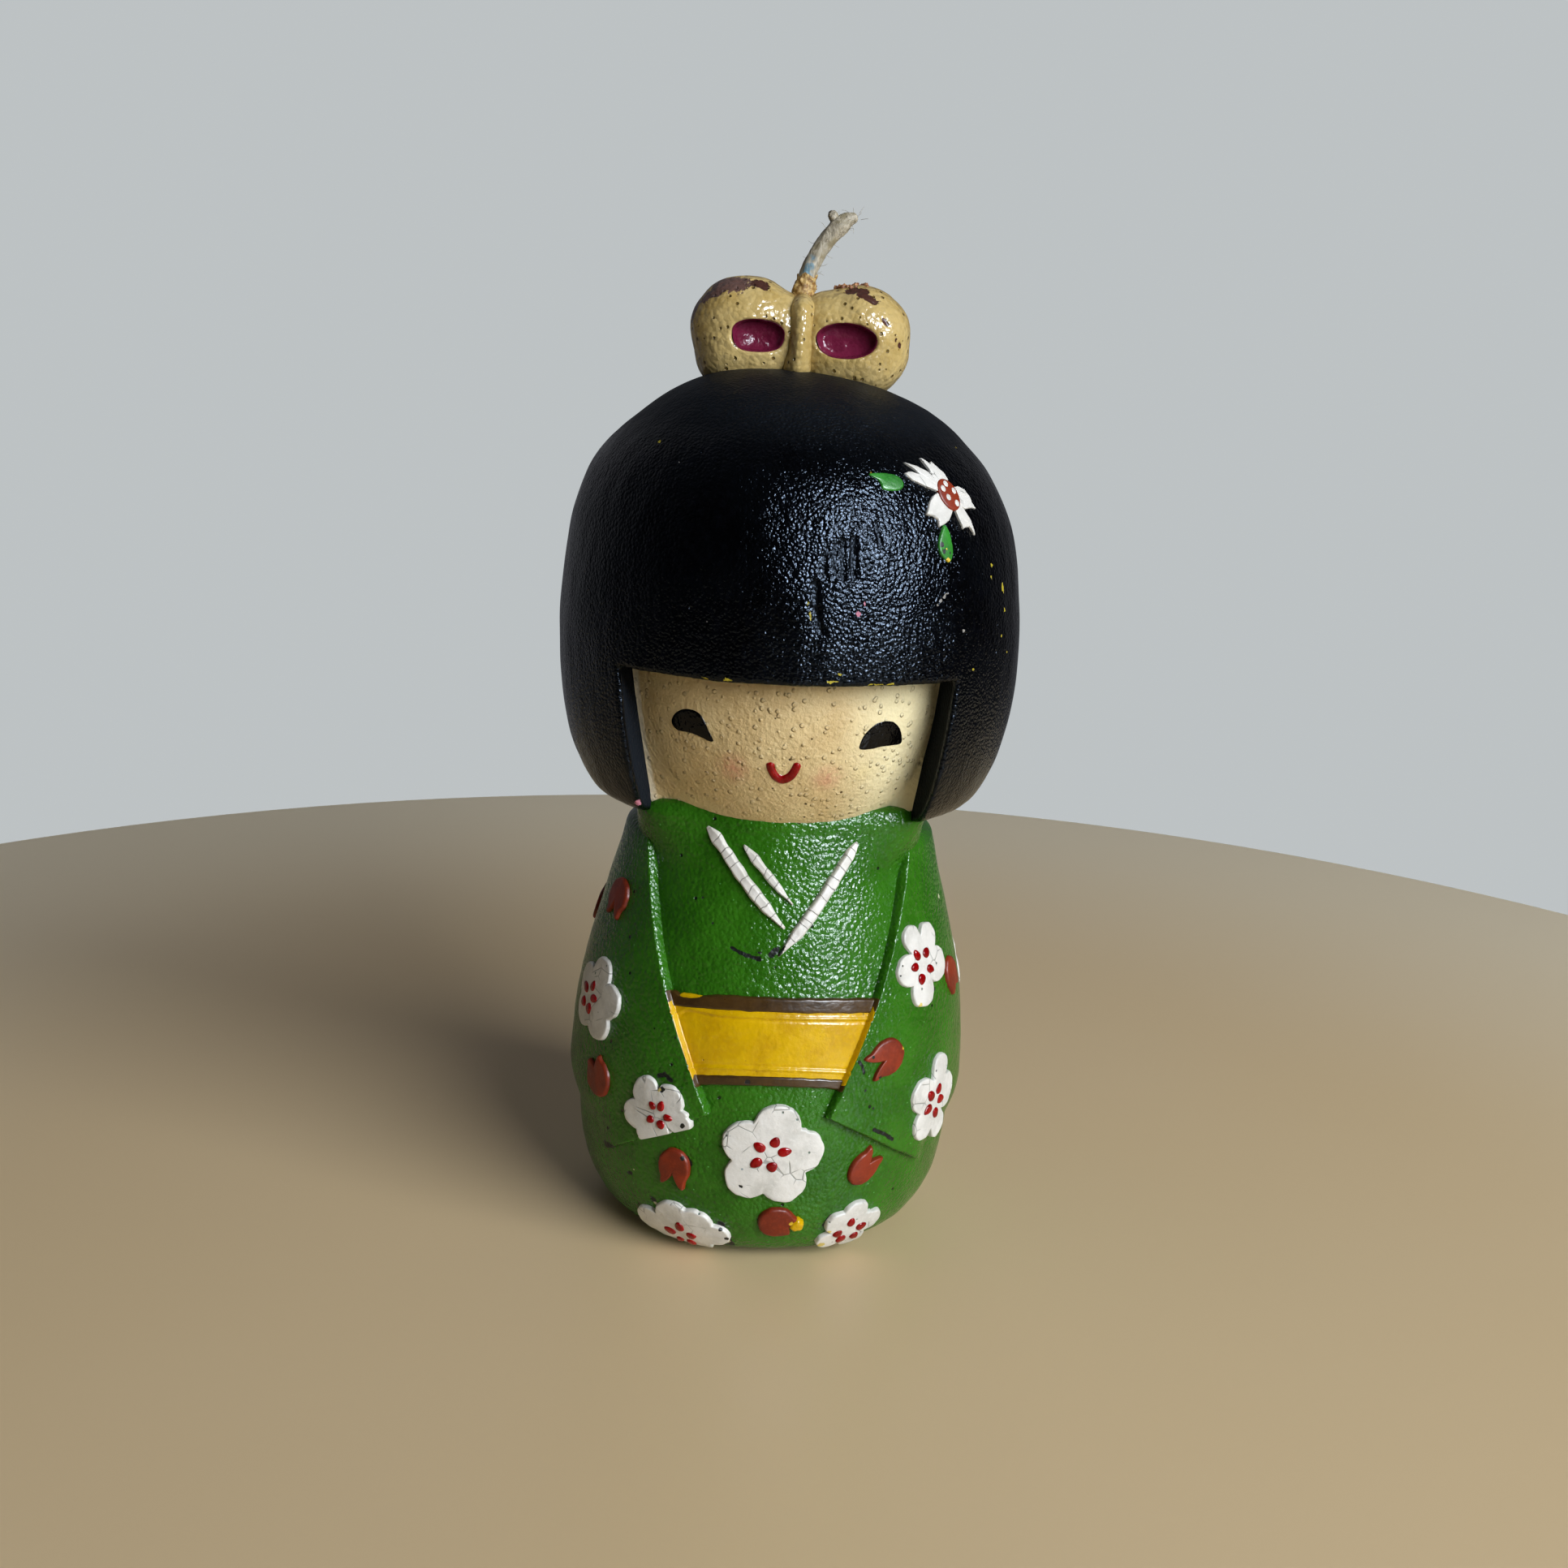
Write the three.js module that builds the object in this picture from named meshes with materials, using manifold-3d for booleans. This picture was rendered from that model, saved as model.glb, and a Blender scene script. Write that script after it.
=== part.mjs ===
// A moulded wax figure candle in the shape of a kokeshi doll, standing on its flat base.
// Millimetres, +Z up, the doll faces -Y. The origin is the middle of the base, on the table.
// Angles run round the Z axis in degrees: 0 is the front, positive is the side of +X.
import * as THREE from "three";
import { mergeVertices } from "three/addons/utils/BufferGeometryUtils.js";
import Module from "manifold-3d";

const wasm = await Module();
wasm.setup();

// ---------------------------------------------------------------- driving dimensions
const GAP = 0.3; // clearance between neighbouring solids

// Outlines turned round the Z axis, as radius and height.
const KIMONO_OUTLINE = [
  [17.6, 0],
  [20.2, 0.8],
  [22.2, 2.5],
  [24.1, 5.5],
  [25.5, 11],
  [26.0, 19],
  [25.6, 28],
  [24.3, 36],
  [21.9, 45],
  [19.7, 53],
  [18.6, 58],
  [17.2, 60.4],
  [14, 61.8],
];
const HAIR_OUTLINE = [
  [20, 57.7],
  [23.8, 58.4],
  [26.4, 60.9],
  [28.2, 64.6],
  [29.8, 71],
  [30.4, 80],
  [29.5, 91],
  [26.8, 100],
  [22.1, 106],
  [15.7, 110.4],
  [8, 113],
  [2, 113.9],
];

// The head: a flattened ball in front of a sloping panel that the hair frames.
const HEAD_CENTRE_Z = 76.8;
const HEAD_RADII = new THREE.Vector3(24, 26, 26.5);
const PANEL_TOP = { z: 78.4, y: -16.2, halfWidth: 19.2 };
const PANEL_BOTTOM = { z: 58.8, y: -13.2, halfWidth: 16.5 };
const PANEL_BACK_Y = -8;
const FRINGE_Z = 77.4; // the lower edge of the fringe, at the front of the hair
const HAIR_FRONT_Y = -31;
const HAIR_MOUTH_FLARE = 1.0; // how much wider the hair opening is at its front edge, each side

// The bow on top of the hair.
const BOW_CENTRE_Z = 118.9;
const BOW_TILT = 1.2; // degrees, right end down
const LOOP_OUTLINE = [
  [0, 0.6],
  [3.7, 0.6],
  [4.3, 2.2],
  [5.7, 5.2],
  [6.35, 8.2],
  [5.7, 11],
  [3.9, 13.2],
  [1.6, 14.15],
  [0, 14.3],
]; // radius and distance from the knot
const LOOP_DEPTH_SCALE = 0.95;
const LOOP_FOOT = { x: 5.4, z: -3.2, radii: [5.6, 4.9, 3.8] };
const KNOT_OUTLINE = [
  [0, -6.4],
  [1.9, -6.2],
  [2.4, -4.4],
  [2.45, -0.8],
  [2.25, 2.8],
  [1.75, 4.6],
  [0, 5.0],
]; // half width and height from the bow's centre
const KNOT_DEPTH_SCALE = 2.75;
const INLAY = { x: 5.6, z: -1.0, halfWidth: 3.5, halfHeight: 1.95, floorY: -4.1, thickness: 0.45 };

// The wick runs up the middle of the casting and leans over above the bow.
const WICK_RADIUS = 1.1;
const WICK_FOOT_Z = 3;
const WICK_ROUTE = [
  [0, 0, WICK_FOOT_Z],
  [0, 0, 40],
  [0, 0, 80],
  [0, 0, 112],
  [0, 0, 122],
  [0.1, 0, 125],
  [0.65, 0, 127.3],
  [1.8, 0, 129.8],
  [3.3, 0, 131.9],
  [4.6, 0, 132.9],
  [5.9, 0, 133.3],
];
const WICK_STUB = { from: [3.6, 0, 131.9], to: [2.9, 0, 133.5], radius: 0.65 };
const BORE_TOP_Z = 128;
const CRUST = { fromZ: 124.3, toZ: 126.7, radius: 1.9 };

// Raised decoration on the kimono, the hair and the face.
const SLEEVE_THICKNESS = 1.0;
const SLEEVE_FRONT_EDGE = [
  [16, 22.5],
  [25, 31.2],
  [37, 41],
  [54, 54],
]; // angle and height, from the tip up to the shoulder
const SLEEVE_HEM = [
  [16, 22.0],
  [29, 18.6],
  [42, 15],
  [54, 12.4],
  [72, 12.9],
  [122, 14.5],
];
const SLEEVE_TOP_Z = 55.2;
const SLEEVE_BACK_ANGLE = 122;
const OBI = { bottom: 28.0, top: 35.3, thickness: 0.6 };
const UPPER_CORD = { bottom: 35.6, top: 37.2, thickness: 0.7 };
const LOWER_CORD = { bottom: 26.3, top: 27.7, thickness: 0.7 };
const OBI_SIDE_CLEARANCE = 1.2; // degrees between the obi and the sleeves
const OBI_DROOP = 0.8; // how much lower the obi's ends are than its middle
const DRUM = { halfAngle: 19, bottom: 24.8, top: 38.6, thickness: 2.4 };
const DRUM_CORD = { bottom: 31.0, top: 32.6, thickness: 0.7 };
const COLLAR_HALF_WIDTH = 0.72;
const TRIM_THICKNESS = 0.55;
const EYE = { x: 11.3, z: 70.2, halfWidth: 2.85, rise: 2.5, drop: 1.0 };
const MOUTH = { x: 0.15, z: 66.5, halfWidth: 1.8, drop: 2.1, halfThickness: 0.33 };
const PAINT_THICKNESS = 0.35;
const LOWEST_TRIM_Z = 1.2; // trim stops this far above the table

// angle, height, radius, turn of the first lobe, and whether it lies on a sleeve
const BLOSSOMS = [
  { angle: 1.7, z: 16.9, radius: 6.6, turn: 85, sleeve: false },
  { angle: -58, z: 32.3, radius: 5.6, turn: 100, sleeve: true },
  { angle: -30.2, z: 21.6, radius: 4.8, turn: 110, sleeve: true },
  { angle: -25.5, z: 3.7, radius: 5.6, turn: 105, sleeve: false },
  { angle: 28, z: 4.6, radius: 4.6, turn: 80, sleeve: false },
  { angle: 51, z: 39.2, radius: 5.4, turn: 75, sleeve: true },
  { angle: 53.5, z: 21.3, radius: 5.7, turn: 80, sleeve: true },
  { angle: -104, z: 20, radius: 5.4, turn: 60, sleeve: true },
  { angle: 106, z: 33, radius: 5.4, turn: 120, sleeve: true },
  { angle: 178, z: 15, radius: 6.2, turn: 90, sleeve: false },
  { angle: -142, z: 4.4, radius: 5.0, turn: 70, sleeve: false },
];
const PETALS = [
  { angle: -63, z: 45.2, radius: 2.5, turn: 70, sleeve: true },
  { angle: -53.5, z: 22.4, radius: 2.6, turn: 95, sleeve: true },
  { angle: -26.4, z: 13.6, radius: 2.5, turn: -80, sleeve: false },
  { angle: 3.9, z: 7.2, radius: 2.6, turn: 0, sleeve: false },
  { angle: 29.5, z: 14.2, radius: 2.5, turn: 70, sleeve: false },
  { angle: 33.9, z: 29.2, radius: 2.6, turn: 215, sleeve: true },
  { angle: 69.6, z: 35.9, radius: 2.5, turn: 110, sleeve: true },
  { angle: -98, z: 40, radius: 2.6, turn: 140, sleeve: true },
  { angle: 98, z: 19, radius: 2.6, turn: 40, sleeve: true },
  { angle: 150, z: 8.5, radius: 2.6, turn: -60, sleeve: false },
  { angle: -166, z: 44.5, radius: 2.6, turn: 100, sleeve: false },
];
const HAIR_FLOWER = {
  angle: 42.3,
  z: 99.4,
  petals: [
    { turn: -149, length: 6.2 },
    { turn: -75, length: 5.2 },
    { turn: -5, length: 5.1 },
    { turn: 76, length: 5.8 },
    { turn: 145, length: 6.5 },
  ],
};
const HAIR_LEAVES = [
  { name: "hair_leaf_upper", angle: 24.0, z: 100.7, halfLength: 2.0, halfWidth: 1.25, turn: 172 },
  { name: "hair_leaf_lower", angle: 38.7, z: 94.0, halfLength: 2.1, halfWidth: 0.95, turn: -96 },
];

// ---------------------------------------------------------------- resolution
const TURNED_SEGMENTS = 40;
const OUTLINE_SAMPLES = 14;
const BALL_SEGMENTS = [28, 16];
const SMALL_ROUND = 20;
const FINE_OUTLINE_SAMPLES = 400;
const WICK_STEPS = 24;
const WICK_SIDES = 10;

// ---------------------------------------------------------------- materials
const paint = (color, roughness) => new THREE.MeshStandardMaterial({ color, roughness, metalness: 0 });
const materials = {
  green: paint(0x2f7a2a, 0.42),
  black: paint(0x121318, 0.35),
  skin: paint(0xd8bb7f, 0.55),
  cream: paint(0xd9bf80, 0.4),
  plum: paint(0x7c2a4c, 0.3),
  white: paint(0xe4e2dc, 0.5),
  redBrown: paint(0x9a452a, 0.45),
  yellow: paint(0xe3b414, 0.35),
  brown: paint(0x5f4523, 0.4),
  ink: paint(0x17140f, 0.45),
  red: paint(0xa0121c, 0.35),
  leaf: paint(0x2f8a35, 0.4),
  crust: paint(0xa67a35, 0.7),
  cotton: paint(0xb5ad98, 0.8),
};

// ---------------------------------------------------------------- solids
const doll = new THREE.Group();
doll.name = "kokeshi_candle";

function solidOf(geometry) {
  const bare = geometry.clone();
  bare.deleteAttribute("normal");
  bare.deleteAttribute("uv");
  const merged = mergeVertices(bare, 1e-4);
  const triVerts = new Uint32Array(merged.index.array);
  return new wasm.Manifold(
    new wasm.Mesh({ numProp: 3, vertProperties: merged.attributes.position.array, triVerts }),
  );
}

function geometryOf(solid) {
  const mesh = solid.getMesh();
  const geometry = new THREE.BufferGeometry();
  geometry.setAttribute("position", new THREE.BufferAttribute(mesh.vertProperties, 3));
  geometry.setIndex(new THREE.BufferAttribute(mesh.triVerts, 1));
  geometry.computeVertexNormals();
  return geometry;
}

function addPart(name, geometry, material, parent = doll) {
  const mesh = new THREE.Mesh(geometry, material);
  mesh.name = name;
  parent.add(mesh);
  return mesh;
}

// ---------------------------------------------------------------- turned surfaces
const toVectors = (pairs) => pairs.map(([x, y]) => new THREE.Vector2(x, y));
const radians = THREE.MathUtils.degToRad;

function interpolate(pairs, x) {
  const last = pairs.length - 2;
  const found = pairs.findIndex(([next], i) => i > 0 && x <= next) - 1;
  const i = found < 0 ? last : found;
  const [x0, y0] = pairs[i];
  const [x1, y1] = pairs[i + 1];
  return THREE.MathUtils.lerp(y0, y1, THREE.MathUtils.clamp((x - x0) / (x1 - x0), 0, 1));
}

// A surface of revolution: its solid, and the point on it that a decoration sits on.
class TurnedSurface {
  constructor(outline) {
    this.curve = new THREE.SplineCurve(toVectors(outline));
    this.fine = this.curve.getSpacedPoints(FINE_OUTLINE_SAMPLES);
    this.step = this.curve.getLength() / FINE_OUTLINE_SAMPLES;
  }

  // The closed solid, grown outwards by a clearance.
  solid(clearance = 0) {
    const points = this.curve.getSpacedPoints(OUTLINE_SAMPLES).map((p, i) => {
      const tangent = this.curve.getTangentAt(i / OUTLINE_SAMPLES);
      return new THREE.Vector2(p.x + tangent.y * clearance, p.y - tangent.x * clearance);
    });
    points.unshift(new THREE.Vector2(0, points[0].y));
    points.push(new THREE.Vector2(0, points.at(-1).y));
    return solidOf(new THREE.LatheGeometry(points, TURNED_SEGMENTS).rotateX(Math.PI / 2));
  }

  // The index of the outline sample at a height.
  sampleAt(z) {
    return this.fine.findIndex((p) => p.y >= z);
  }

  // The point v millimetres up the outline from height z, u millimetres round, lifted off it.
  point(angle, z, u, v, lift) {
    const start = this.sampleAt(z);
    const place = THREE.MathUtils.clamp(start + v / this.step, 1, FINE_OUTLINE_SAMPLES - 1);
    const share = place / FINE_OUTLINE_SAMPLES;
    const p = this.curve.getPointAt(share);
    const tangent = this.curve.getTangentAt(share);
    const radius = p.x + tangent.y * lift;
    const turn = radians(angle) + u / this.fine[start].x;
    return new THREE.Vector3(radius * Math.sin(turn), -radius * Math.cos(turn), p.y - tangent.x * lift);
  }
}

const kimono = new TurnedSurface(KIMONO_OUTLINE);
const hair = new TurnedSurface(HAIR_OUTLINE);

// The point on the front of the head at x and z, lifted off it.
function headPoint(x, z, lift) {
  const dz = z - HEAD_CENTRE_Z;
  const rest = 1 - (x / HEAD_RADII.x) ** 2 - (dz / HEAD_RADII.z) ** 2;
  const point = new THREE.Vector3(x, -HEAD_RADII.y * Math.sqrt(rest), dz);
  const normal = point.clone().divide(HEAD_RADII).divide(HEAD_RADII).normalize();
  return point.addScaledVector(normal, lift).add(new THREE.Vector3(0, 0, HEAD_CENTRE_Z));
}

// ---------------------------------------------------------------- plates over a surface
// A disc layout: a centre, and rings that grow to the outline. The outline goes counterclockwise.
function discLayout(outline, rings = [0.5, 1]) {
  const count = outline.length;
  const points = [new THREE.Vector2(0, 0)];
  rings.forEach((share) => outline.forEach((p) => points.push(p.clone().multiplyScalar(share))));
  const triangles = [];
  for (let i = 0; i < count; i++) {
    const next = (i + 1) % count;
    triangles.push([0, 1 + i, 1 + next]);
    for (let ring = 1; ring < rings.length; ring++) {
      const inner = 1 + (ring - 1) * count;
      const outer = inner + count;
      triangles.push([inner + i, outer + i, outer + next]);
      triangles.push([inner + i, outer + next, inner + next]);
    }
  }
  const rimStart = 1 + (rings.length - 1) * count;
  return { points, triangles, rim: outline.map((_, i) => rimStart + i) };
}

// A grid layout over the unit square.
function gridLayout(columns, rows) {
  const points = [];
  const triangles = [];
  const at = (i, j) => j * (columns + 1) + i;
  for (let j = 0; j <= rows; j++)
    for (let i = 0; i <= columns; i++) points.push(new THREE.Vector2(i / columns, j / rows));
  for (let j = 0; j < rows; j++)
    for (let i = 0; i < columns; i++) {
      triangles.push([at(i, j), at(i + 1, j), at(i + 1, j + 1)]);
      triangles.push([at(i, j), at(i + 1, j + 1), at(i, j + 1)]);
    }
  const rim = [];
  for (let i = 0; i < columns; i++) rim.push(at(i, 0));
  for (let j = 0; j < rows; j++) rim.push(at(columns, j));
  for (let i = columns; i > 0; i--) rim.push(at(i, rows));
  for (let j = rows; j > 0; j--) rim.push(at(0, j));
  return { points, triangles, rim };
}

// A closed plate between two lifts over a surface. place(point, lift) is the point in space.
function plate(layout, place, innerLift, outerLift) {
  const count = layout.points.length;
  const top = (p) => (typeof outerLift === "function" ? outerLift(p) : outerLift);
  const positions = [
    ...layout.points.map((p) => place(p, top(p))),
    ...layout.points.map((p) => place(p, innerLift)),
  ];
  const faces = [];
  layout.triangles.forEach(([a, b, c]) => faces.push([a, b, c], [a + count, c + count, b + count]));
  layout.rim.forEach((a, i) => {
    const b = layout.rim[(i + 1) % layout.rim.length];
    faces.push([a, a + count, b + count], [a, b + count, b]);
  });
  const geometry = new THREE.BufferGeometry();
  geometry.setFromPoints(positions);
  geometry.setIndex(faces.flat());
  geometry.computeVertexNormals();
  return geometry;
}

// ---------------------------------------------------------------- the casting: kimono, head and hair
function ellipsoid(radii, clearance = 0) {
  const ball = new THREE.SphereGeometry(1, ...BALL_SEGMENTS).rotateX(Math.PI / 2);
  return ball.scale(radii.x + clearance, radii.y + clearance, radii.z + clearance);
}

// A solid with a rectangle-like front and back: each corner list goes round the same way.
function wedge(front, back) {
  const geometry = new THREE.BufferGeometry();
  geometry.setFromPoints([...front, ...back].map(([x, y, z]) => new THREE.Vector3(x, y, z)));
  const sides = [0, 1, 2, 3].flatMap((i) => {
    const next = (i + 1) % 4;
    return [i, i + 4, next + 4, i, next + 4, next];
  });
  geometry.setIndex([0, 1, 2, 0, 2, 3, 4, 6, 5, 4, 7, 6, ...sides]);
  return solidOf(geometry);
}

// Corners of an upright trapezium, counterclockwise as seen from the front.
function trapezium(bottom, top, widen = 0) {
  return [
    [-bottom.halfWidth - widen, bottom.y, bottom.z],
    [bottom.halfWidth + widen, bottom.y, bottom.z],
    [top.halfWidth + widen, top.y, top.z],
    [-top.halfWidth - widen, top.y, top.z],
  ];
}

// The head with its framing panel, grown by a clearance.
function headSolid(clearance = 0) {
  const grown = (edge, dz) => ({ ...edge, y: edge.y - clearance, z: edge.z + dz });
  const front = trapezium(grown(PANEL_BOTTOM, -clearance), grown(PANEL_TOP, clearance), clearance);
  const back = front.map(([x, , z]) => [x, PANEL_BACK_Y, z]);
  const ball = ellipsoid(HEAD_RADII, clearance).translate(0, 0, HEAD_CENTRE_Z);
  return solidOf(ball).add(wedge(front, back));
}

// The opening in the hair, from its front edge back to the panel.
function hairOpening() {
  const sill = { ...PANEL_BOTTOM, z: PANEL_BOTTOM.z - 4 };
  const back = trapezium(sill, PANEL_TOP, GAP);
  const front = trapezium(sill, { ...PANEL_TOP, z: FRINGE_Z }, GAP + HAIR_MOUTH_FLARE);
  return wedge(
    front.map(([x, , z]) => [x, HAIR_FRONT_Y, z]),
    back.map(([x, , z]) => [x, PANEL_BACK_Y - 1, z]),
  );
}

const wickPath = new THREE.CatmullRomCurve3(WICK_ROUTE.map(([x, y, z]) => new THREE.Vector3(x, y, z)));

// The hole that the wick stands in, from its foot up through the bow.
function wickBore() {
  const height = BORE_TOP_Z - WICK_FOOT_Z + GAP;
  const bore = new THREE.CylinderGeometry(WICK_RADIUS + GAP, WICK_RADIUS + GAP, height, SMALL_ROUND);
  return solidOf(bore.rotateX(Math.PI / 2).translate(0, 0, BORE_TOP_Z - height / 2));
}

const bore = wickBore();
const headWithClearance = headSolid(GAP);
const kimonoSolid = kimono.solid().subtract(headWithClearance).subtract(bore);
const hairSolid = hair
  .solid()
  .subtract(hairOpening())
  .subtract(headWithClearance)
  .subtract(kimono.solid(GAP))
  .subtract(bore);
addPart("kimono_body", geometryOf(kimonoSolid), materials.green);
addPart("head", geometryOf(headSolid().subtract(bore)), materials.skin);
addPart("hair_cap", geometryOf(hairSolid), materials.black);

// ---------------------------------------------------------------- bow
const BOW_TURN = new THREE.Matrix4()
  .makeTranslation(0, 0, BOW_CENTRE_Z)
  .multiply(new THREE.Matrix4().makeRotationY(radians(BOW_TILT)));
const inBow = (geometry) => solidOf(geometry.applyMatrix4(BOW_TURN));

// One loop on the side of +X or -X: a bulb that narrows at the knot, and the foot under it.
function bowLoop(side) {
  const outline = new THREE.SplineCurve(toVectors(LOOP_OUTLINE)).getSpacedPoints(12);
  outline[0].x = 0;
  outline.at(-1).x = 0;
  const bulb = new THREE.LatheGeometry(outline, SMALL_ROUND).scale(1, 1, LOOP_DEPTH_SCALE);
  bulb.rotateZ(-side * Math.PI / 2);
  const foot = ellipsoid(new THREE.Vector3(...LOOP_FOOT.radii));
  foot.translate(side * LOOP_FOOT.x, 0, LOOP_FOOT.z);
  const half = new THREE.BoxGeometry(20, 20, 24).translate(side * (10 + GAP / 2), 0, 0);
  const whole = inBow(bulb.rotateX(Math.PI / 2)).add(inBow(foot));
  return whole.intersect(inBow(half));
}

function bowKnot(clearance = 0) {
  const outline = new THREE.SplineCurve(toVectors(KNOT_OUTLINE)).getSpacedPoints(10).map((p) => {
    return new THREE.Vector2(p.x + clearance, p.y + Math.sign(p.y) * clearance);
  });
  outline[0].x = 0;
  outline.at(-1).x = 0;
  const turned = new THREE.LatheGeometry(outline, SMALL_ROUND).rotateX(Math.PI / 2);
  return inBow(turned.scale(1, KNOT_DEPTH_SCALE, 1));
}

// An oval column along Y, between two depths, for the sunk colour in a loop.
function ovalColumn(side, grow, frontY, backY) {
  const length = backY - frontY;
  const column = new THREE.CylinderGeometry(1, 1, length, SMALL_ROUND);
  column.scale(INLAY.halfWidth + grow, 1, INLAY.halfHeight + grow);
  column.translate(side * INLAY.x, frontY + length / 2, INLAY.z);
  return inBow(column);
}

const hairWithClearance = hair.solid(GAP);
const knotWithClearance = bowKnot(GAP);
[
  ["left", -1],
  ["right", 1],
].forEach(([word, side]) => {
  const pocket = ovalColumn(side, GAP, -12, INLAY.floorY);
  const loop = bowLoop(side)
    .subtract(knotWithClearance)
    .subtract(hairWithClearance)
    .subtract(pocket)
    .subtract(bore);
  addPart("bow_loop_" + word, geometryOf(loop), materials.cream);
  const inlayBack = INLAY.floorY - GAP;
  const inlay = ovalColumn(side, 0, inlayBack - INLAY.thickness, inlayBack).subtract(knotWithClearance);
  addPart("bow_inlay_" + word, geometryOf(inlay), materials.plum);
});
addPart("bow_knot", geometryOf(bowKnot().subtract(hairWithClearance).subtract(bore)), materials.cream);

// ---------------------------------------------------------------- wick
function circle(radius, sides) {
  const shape = new THREE.Shape();
  shape.absarc(0, 0, radius, 0, 2 * Math.PI);
  return new THREE.Shape(shape.getSpacedPoints(sides).slice(0, sides));
}

function tubeAlong(path, shape, steps) {
  return new THREE.ExtrudeGeometry(shape, { steps, bevelEnabled: false, extrudePath: path });
}

function wickSolid() {
  const stubPath = new THREE.LineCurve3(
    new THREE.Vector3(...WICK_STUB.from),
    new THREE.Vector3(...WICK_STUB.to),
  );
  const stub = solidOf(tubeAlong(stubPath, circle(WICK_STUB.radius, 10), 1));
  return solidOf(tubeAlong(wickPath, circle(WICK_RADIUS, WICK_SIDES), WICK_STEPS)).add(stub);
}

// The crust of old wax round the foot of the free end, following the wick.
function crustSolid() {
  const inside = wickPath.getSpacedPoints(200).filter((p) => p.z > CRUST.fromZ && p.z < CRUST.toZ);
  const halfway = inside[Math.floor(inside.length / 2)];
  const path = new THREE.CatmullRomCurve3([inside[0], halfway, inside.at(-1)]);
  const ring = circle(CRUST.radius, 16);
  ring.holes.push(new THREE.Path(circle(WICK_RADIUS + GAP, 16).getPoints()));
  return tubeAlong(path, ring, 3);
}

addPart("wick", geometryOf(wickSolid()), materials.cotton);
addPart("wick_wax_crust", crustSolid(), materials.crust);

// ---------------------------------------------------------------- sleeves and obi
const SLEEVE_OUTER = GAP + SLEEVE_THICKNESS;
const SHOULDER_ANGLE = SLEEVE_FRONT_EDGE.at(-1)[0];
const onKimono = (angle, z, lift) => kimono.point(angle, z, 0, 0, lift);

// The sleeve spans, at each angle, from its hem up to its front edge or to the shoulder.
function sleeve(side) {
  const place = (p, lift) => {
    const s = side > 0 ? p.x : 1 - p.x;
    const angle = THREE.MathUtils.lerp(SLEEVE_HEM[0][0], SLEEVE_BACK_ANGLE, s);
    const low = interpolate(SLEEVE_HEM, angle);
    const high = angle < SHOULDER_ANGLE ? interpolate(SLEEVE_FRONT_EDGE, angle) : SLEEVE_TOP_Z;
    return onKimono(side * angle, THREE.MathUtils.lerp(low, high, p.y), lift);
  };
  return plate(gridLayout(16, 7), place, GAP, SLEEVE_OUTER);
}
addPart("sleeve_left", sleeve(-1), materials.green);
addPart("sleeve_right", sleeve(1), materials.green);

// The angle of a sleeve's front edge at a height.
const frontEdgeAngle = (z) => interpolate(SLEEVE_FRONT_EDGE.map(([angle, height]) => [height, angle]), z);

function band({ bottom, top, thickness }, halfAngleAt, middle, columns, rows) {
  const place = (p, lift) => {
    const z = THREE.MathUtils.lerp(bottom, top, p.y);
    const across = 2 * p.x - 1;
    return onKimono(middle + across * halfAngleAt(z), z - OBI_DROOP * across ** 2, lift);
  };
  return plate(gridLayout(columns, rows), place, GAP, GAP + thickness);
}
const betweenSleeves = (z) => frontEdgeAngle(z) - OBI_SIDE_CLEARANCE;
const behindSleeves = () => 180 - SLEEVE_BACK_ANGLE - OBI_SIDE_CLEARANCE;
addPart("obi_band", band(OBI, betweenSleeves, 0, 10, 3), materials.yellow);
addPart("obi_upper_cord", band(UPPER_CORD, betweenSleeves, 0, 10, 1), materials.brown);
addPart("obi_lower_cord", band(LOWER_CORD, betweenSleeves, 0, 8, 1), materials.brown);
addPart("obi_back_band", band(OBI, behindSleeves, 180, 16, 3), materials.yellow);

// The drum knot on the back of the obi: a low cushion, with a cord across it.
function drumKnot() {
  const foot = GAP + OBI.thickness + GAP;
  const place = (p, lift) => {
    const z = THREE.MathUtils.lerp(DRUM.bottom, DRUM.top, p.y);
    return onKimono(180 + (2 * p.x - 1) * DRUM.halfAngle, z, lift);
  };
  const crown = (p) => {
    const fall = Math.max(Math.abs(2 * p.x - 1), Math.abs(2 * p.y - 1)) ** 6;
    return foot + DRUM.thickness * (1 - 0.6 * fall);
  };
  return plate(gridLayout(8, 6), place, foot, crown);
}
function drumCord() {
  const foot = GAP + OBI.thickness + GAP + DRUM.thickness + GAP;
  const place = (p, lift) => {
    const z = THREE.MathUtils.lerp(DRUM_CORD.bottom, DRUM_CORD.top, p.y);
    return onKimono(180 + (2 * p.x - 1) * DRUM.halfAngle, z, lift);
  };
  return plate(gridLayout(10, 1), place, foot, foot + DRUM_CORD.thickness);
}
addPart("obi_drum_knot", drumKnot(), materials.yellow);
addPart("obi_drum_cord", drumCord(), materials.brown);

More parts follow.
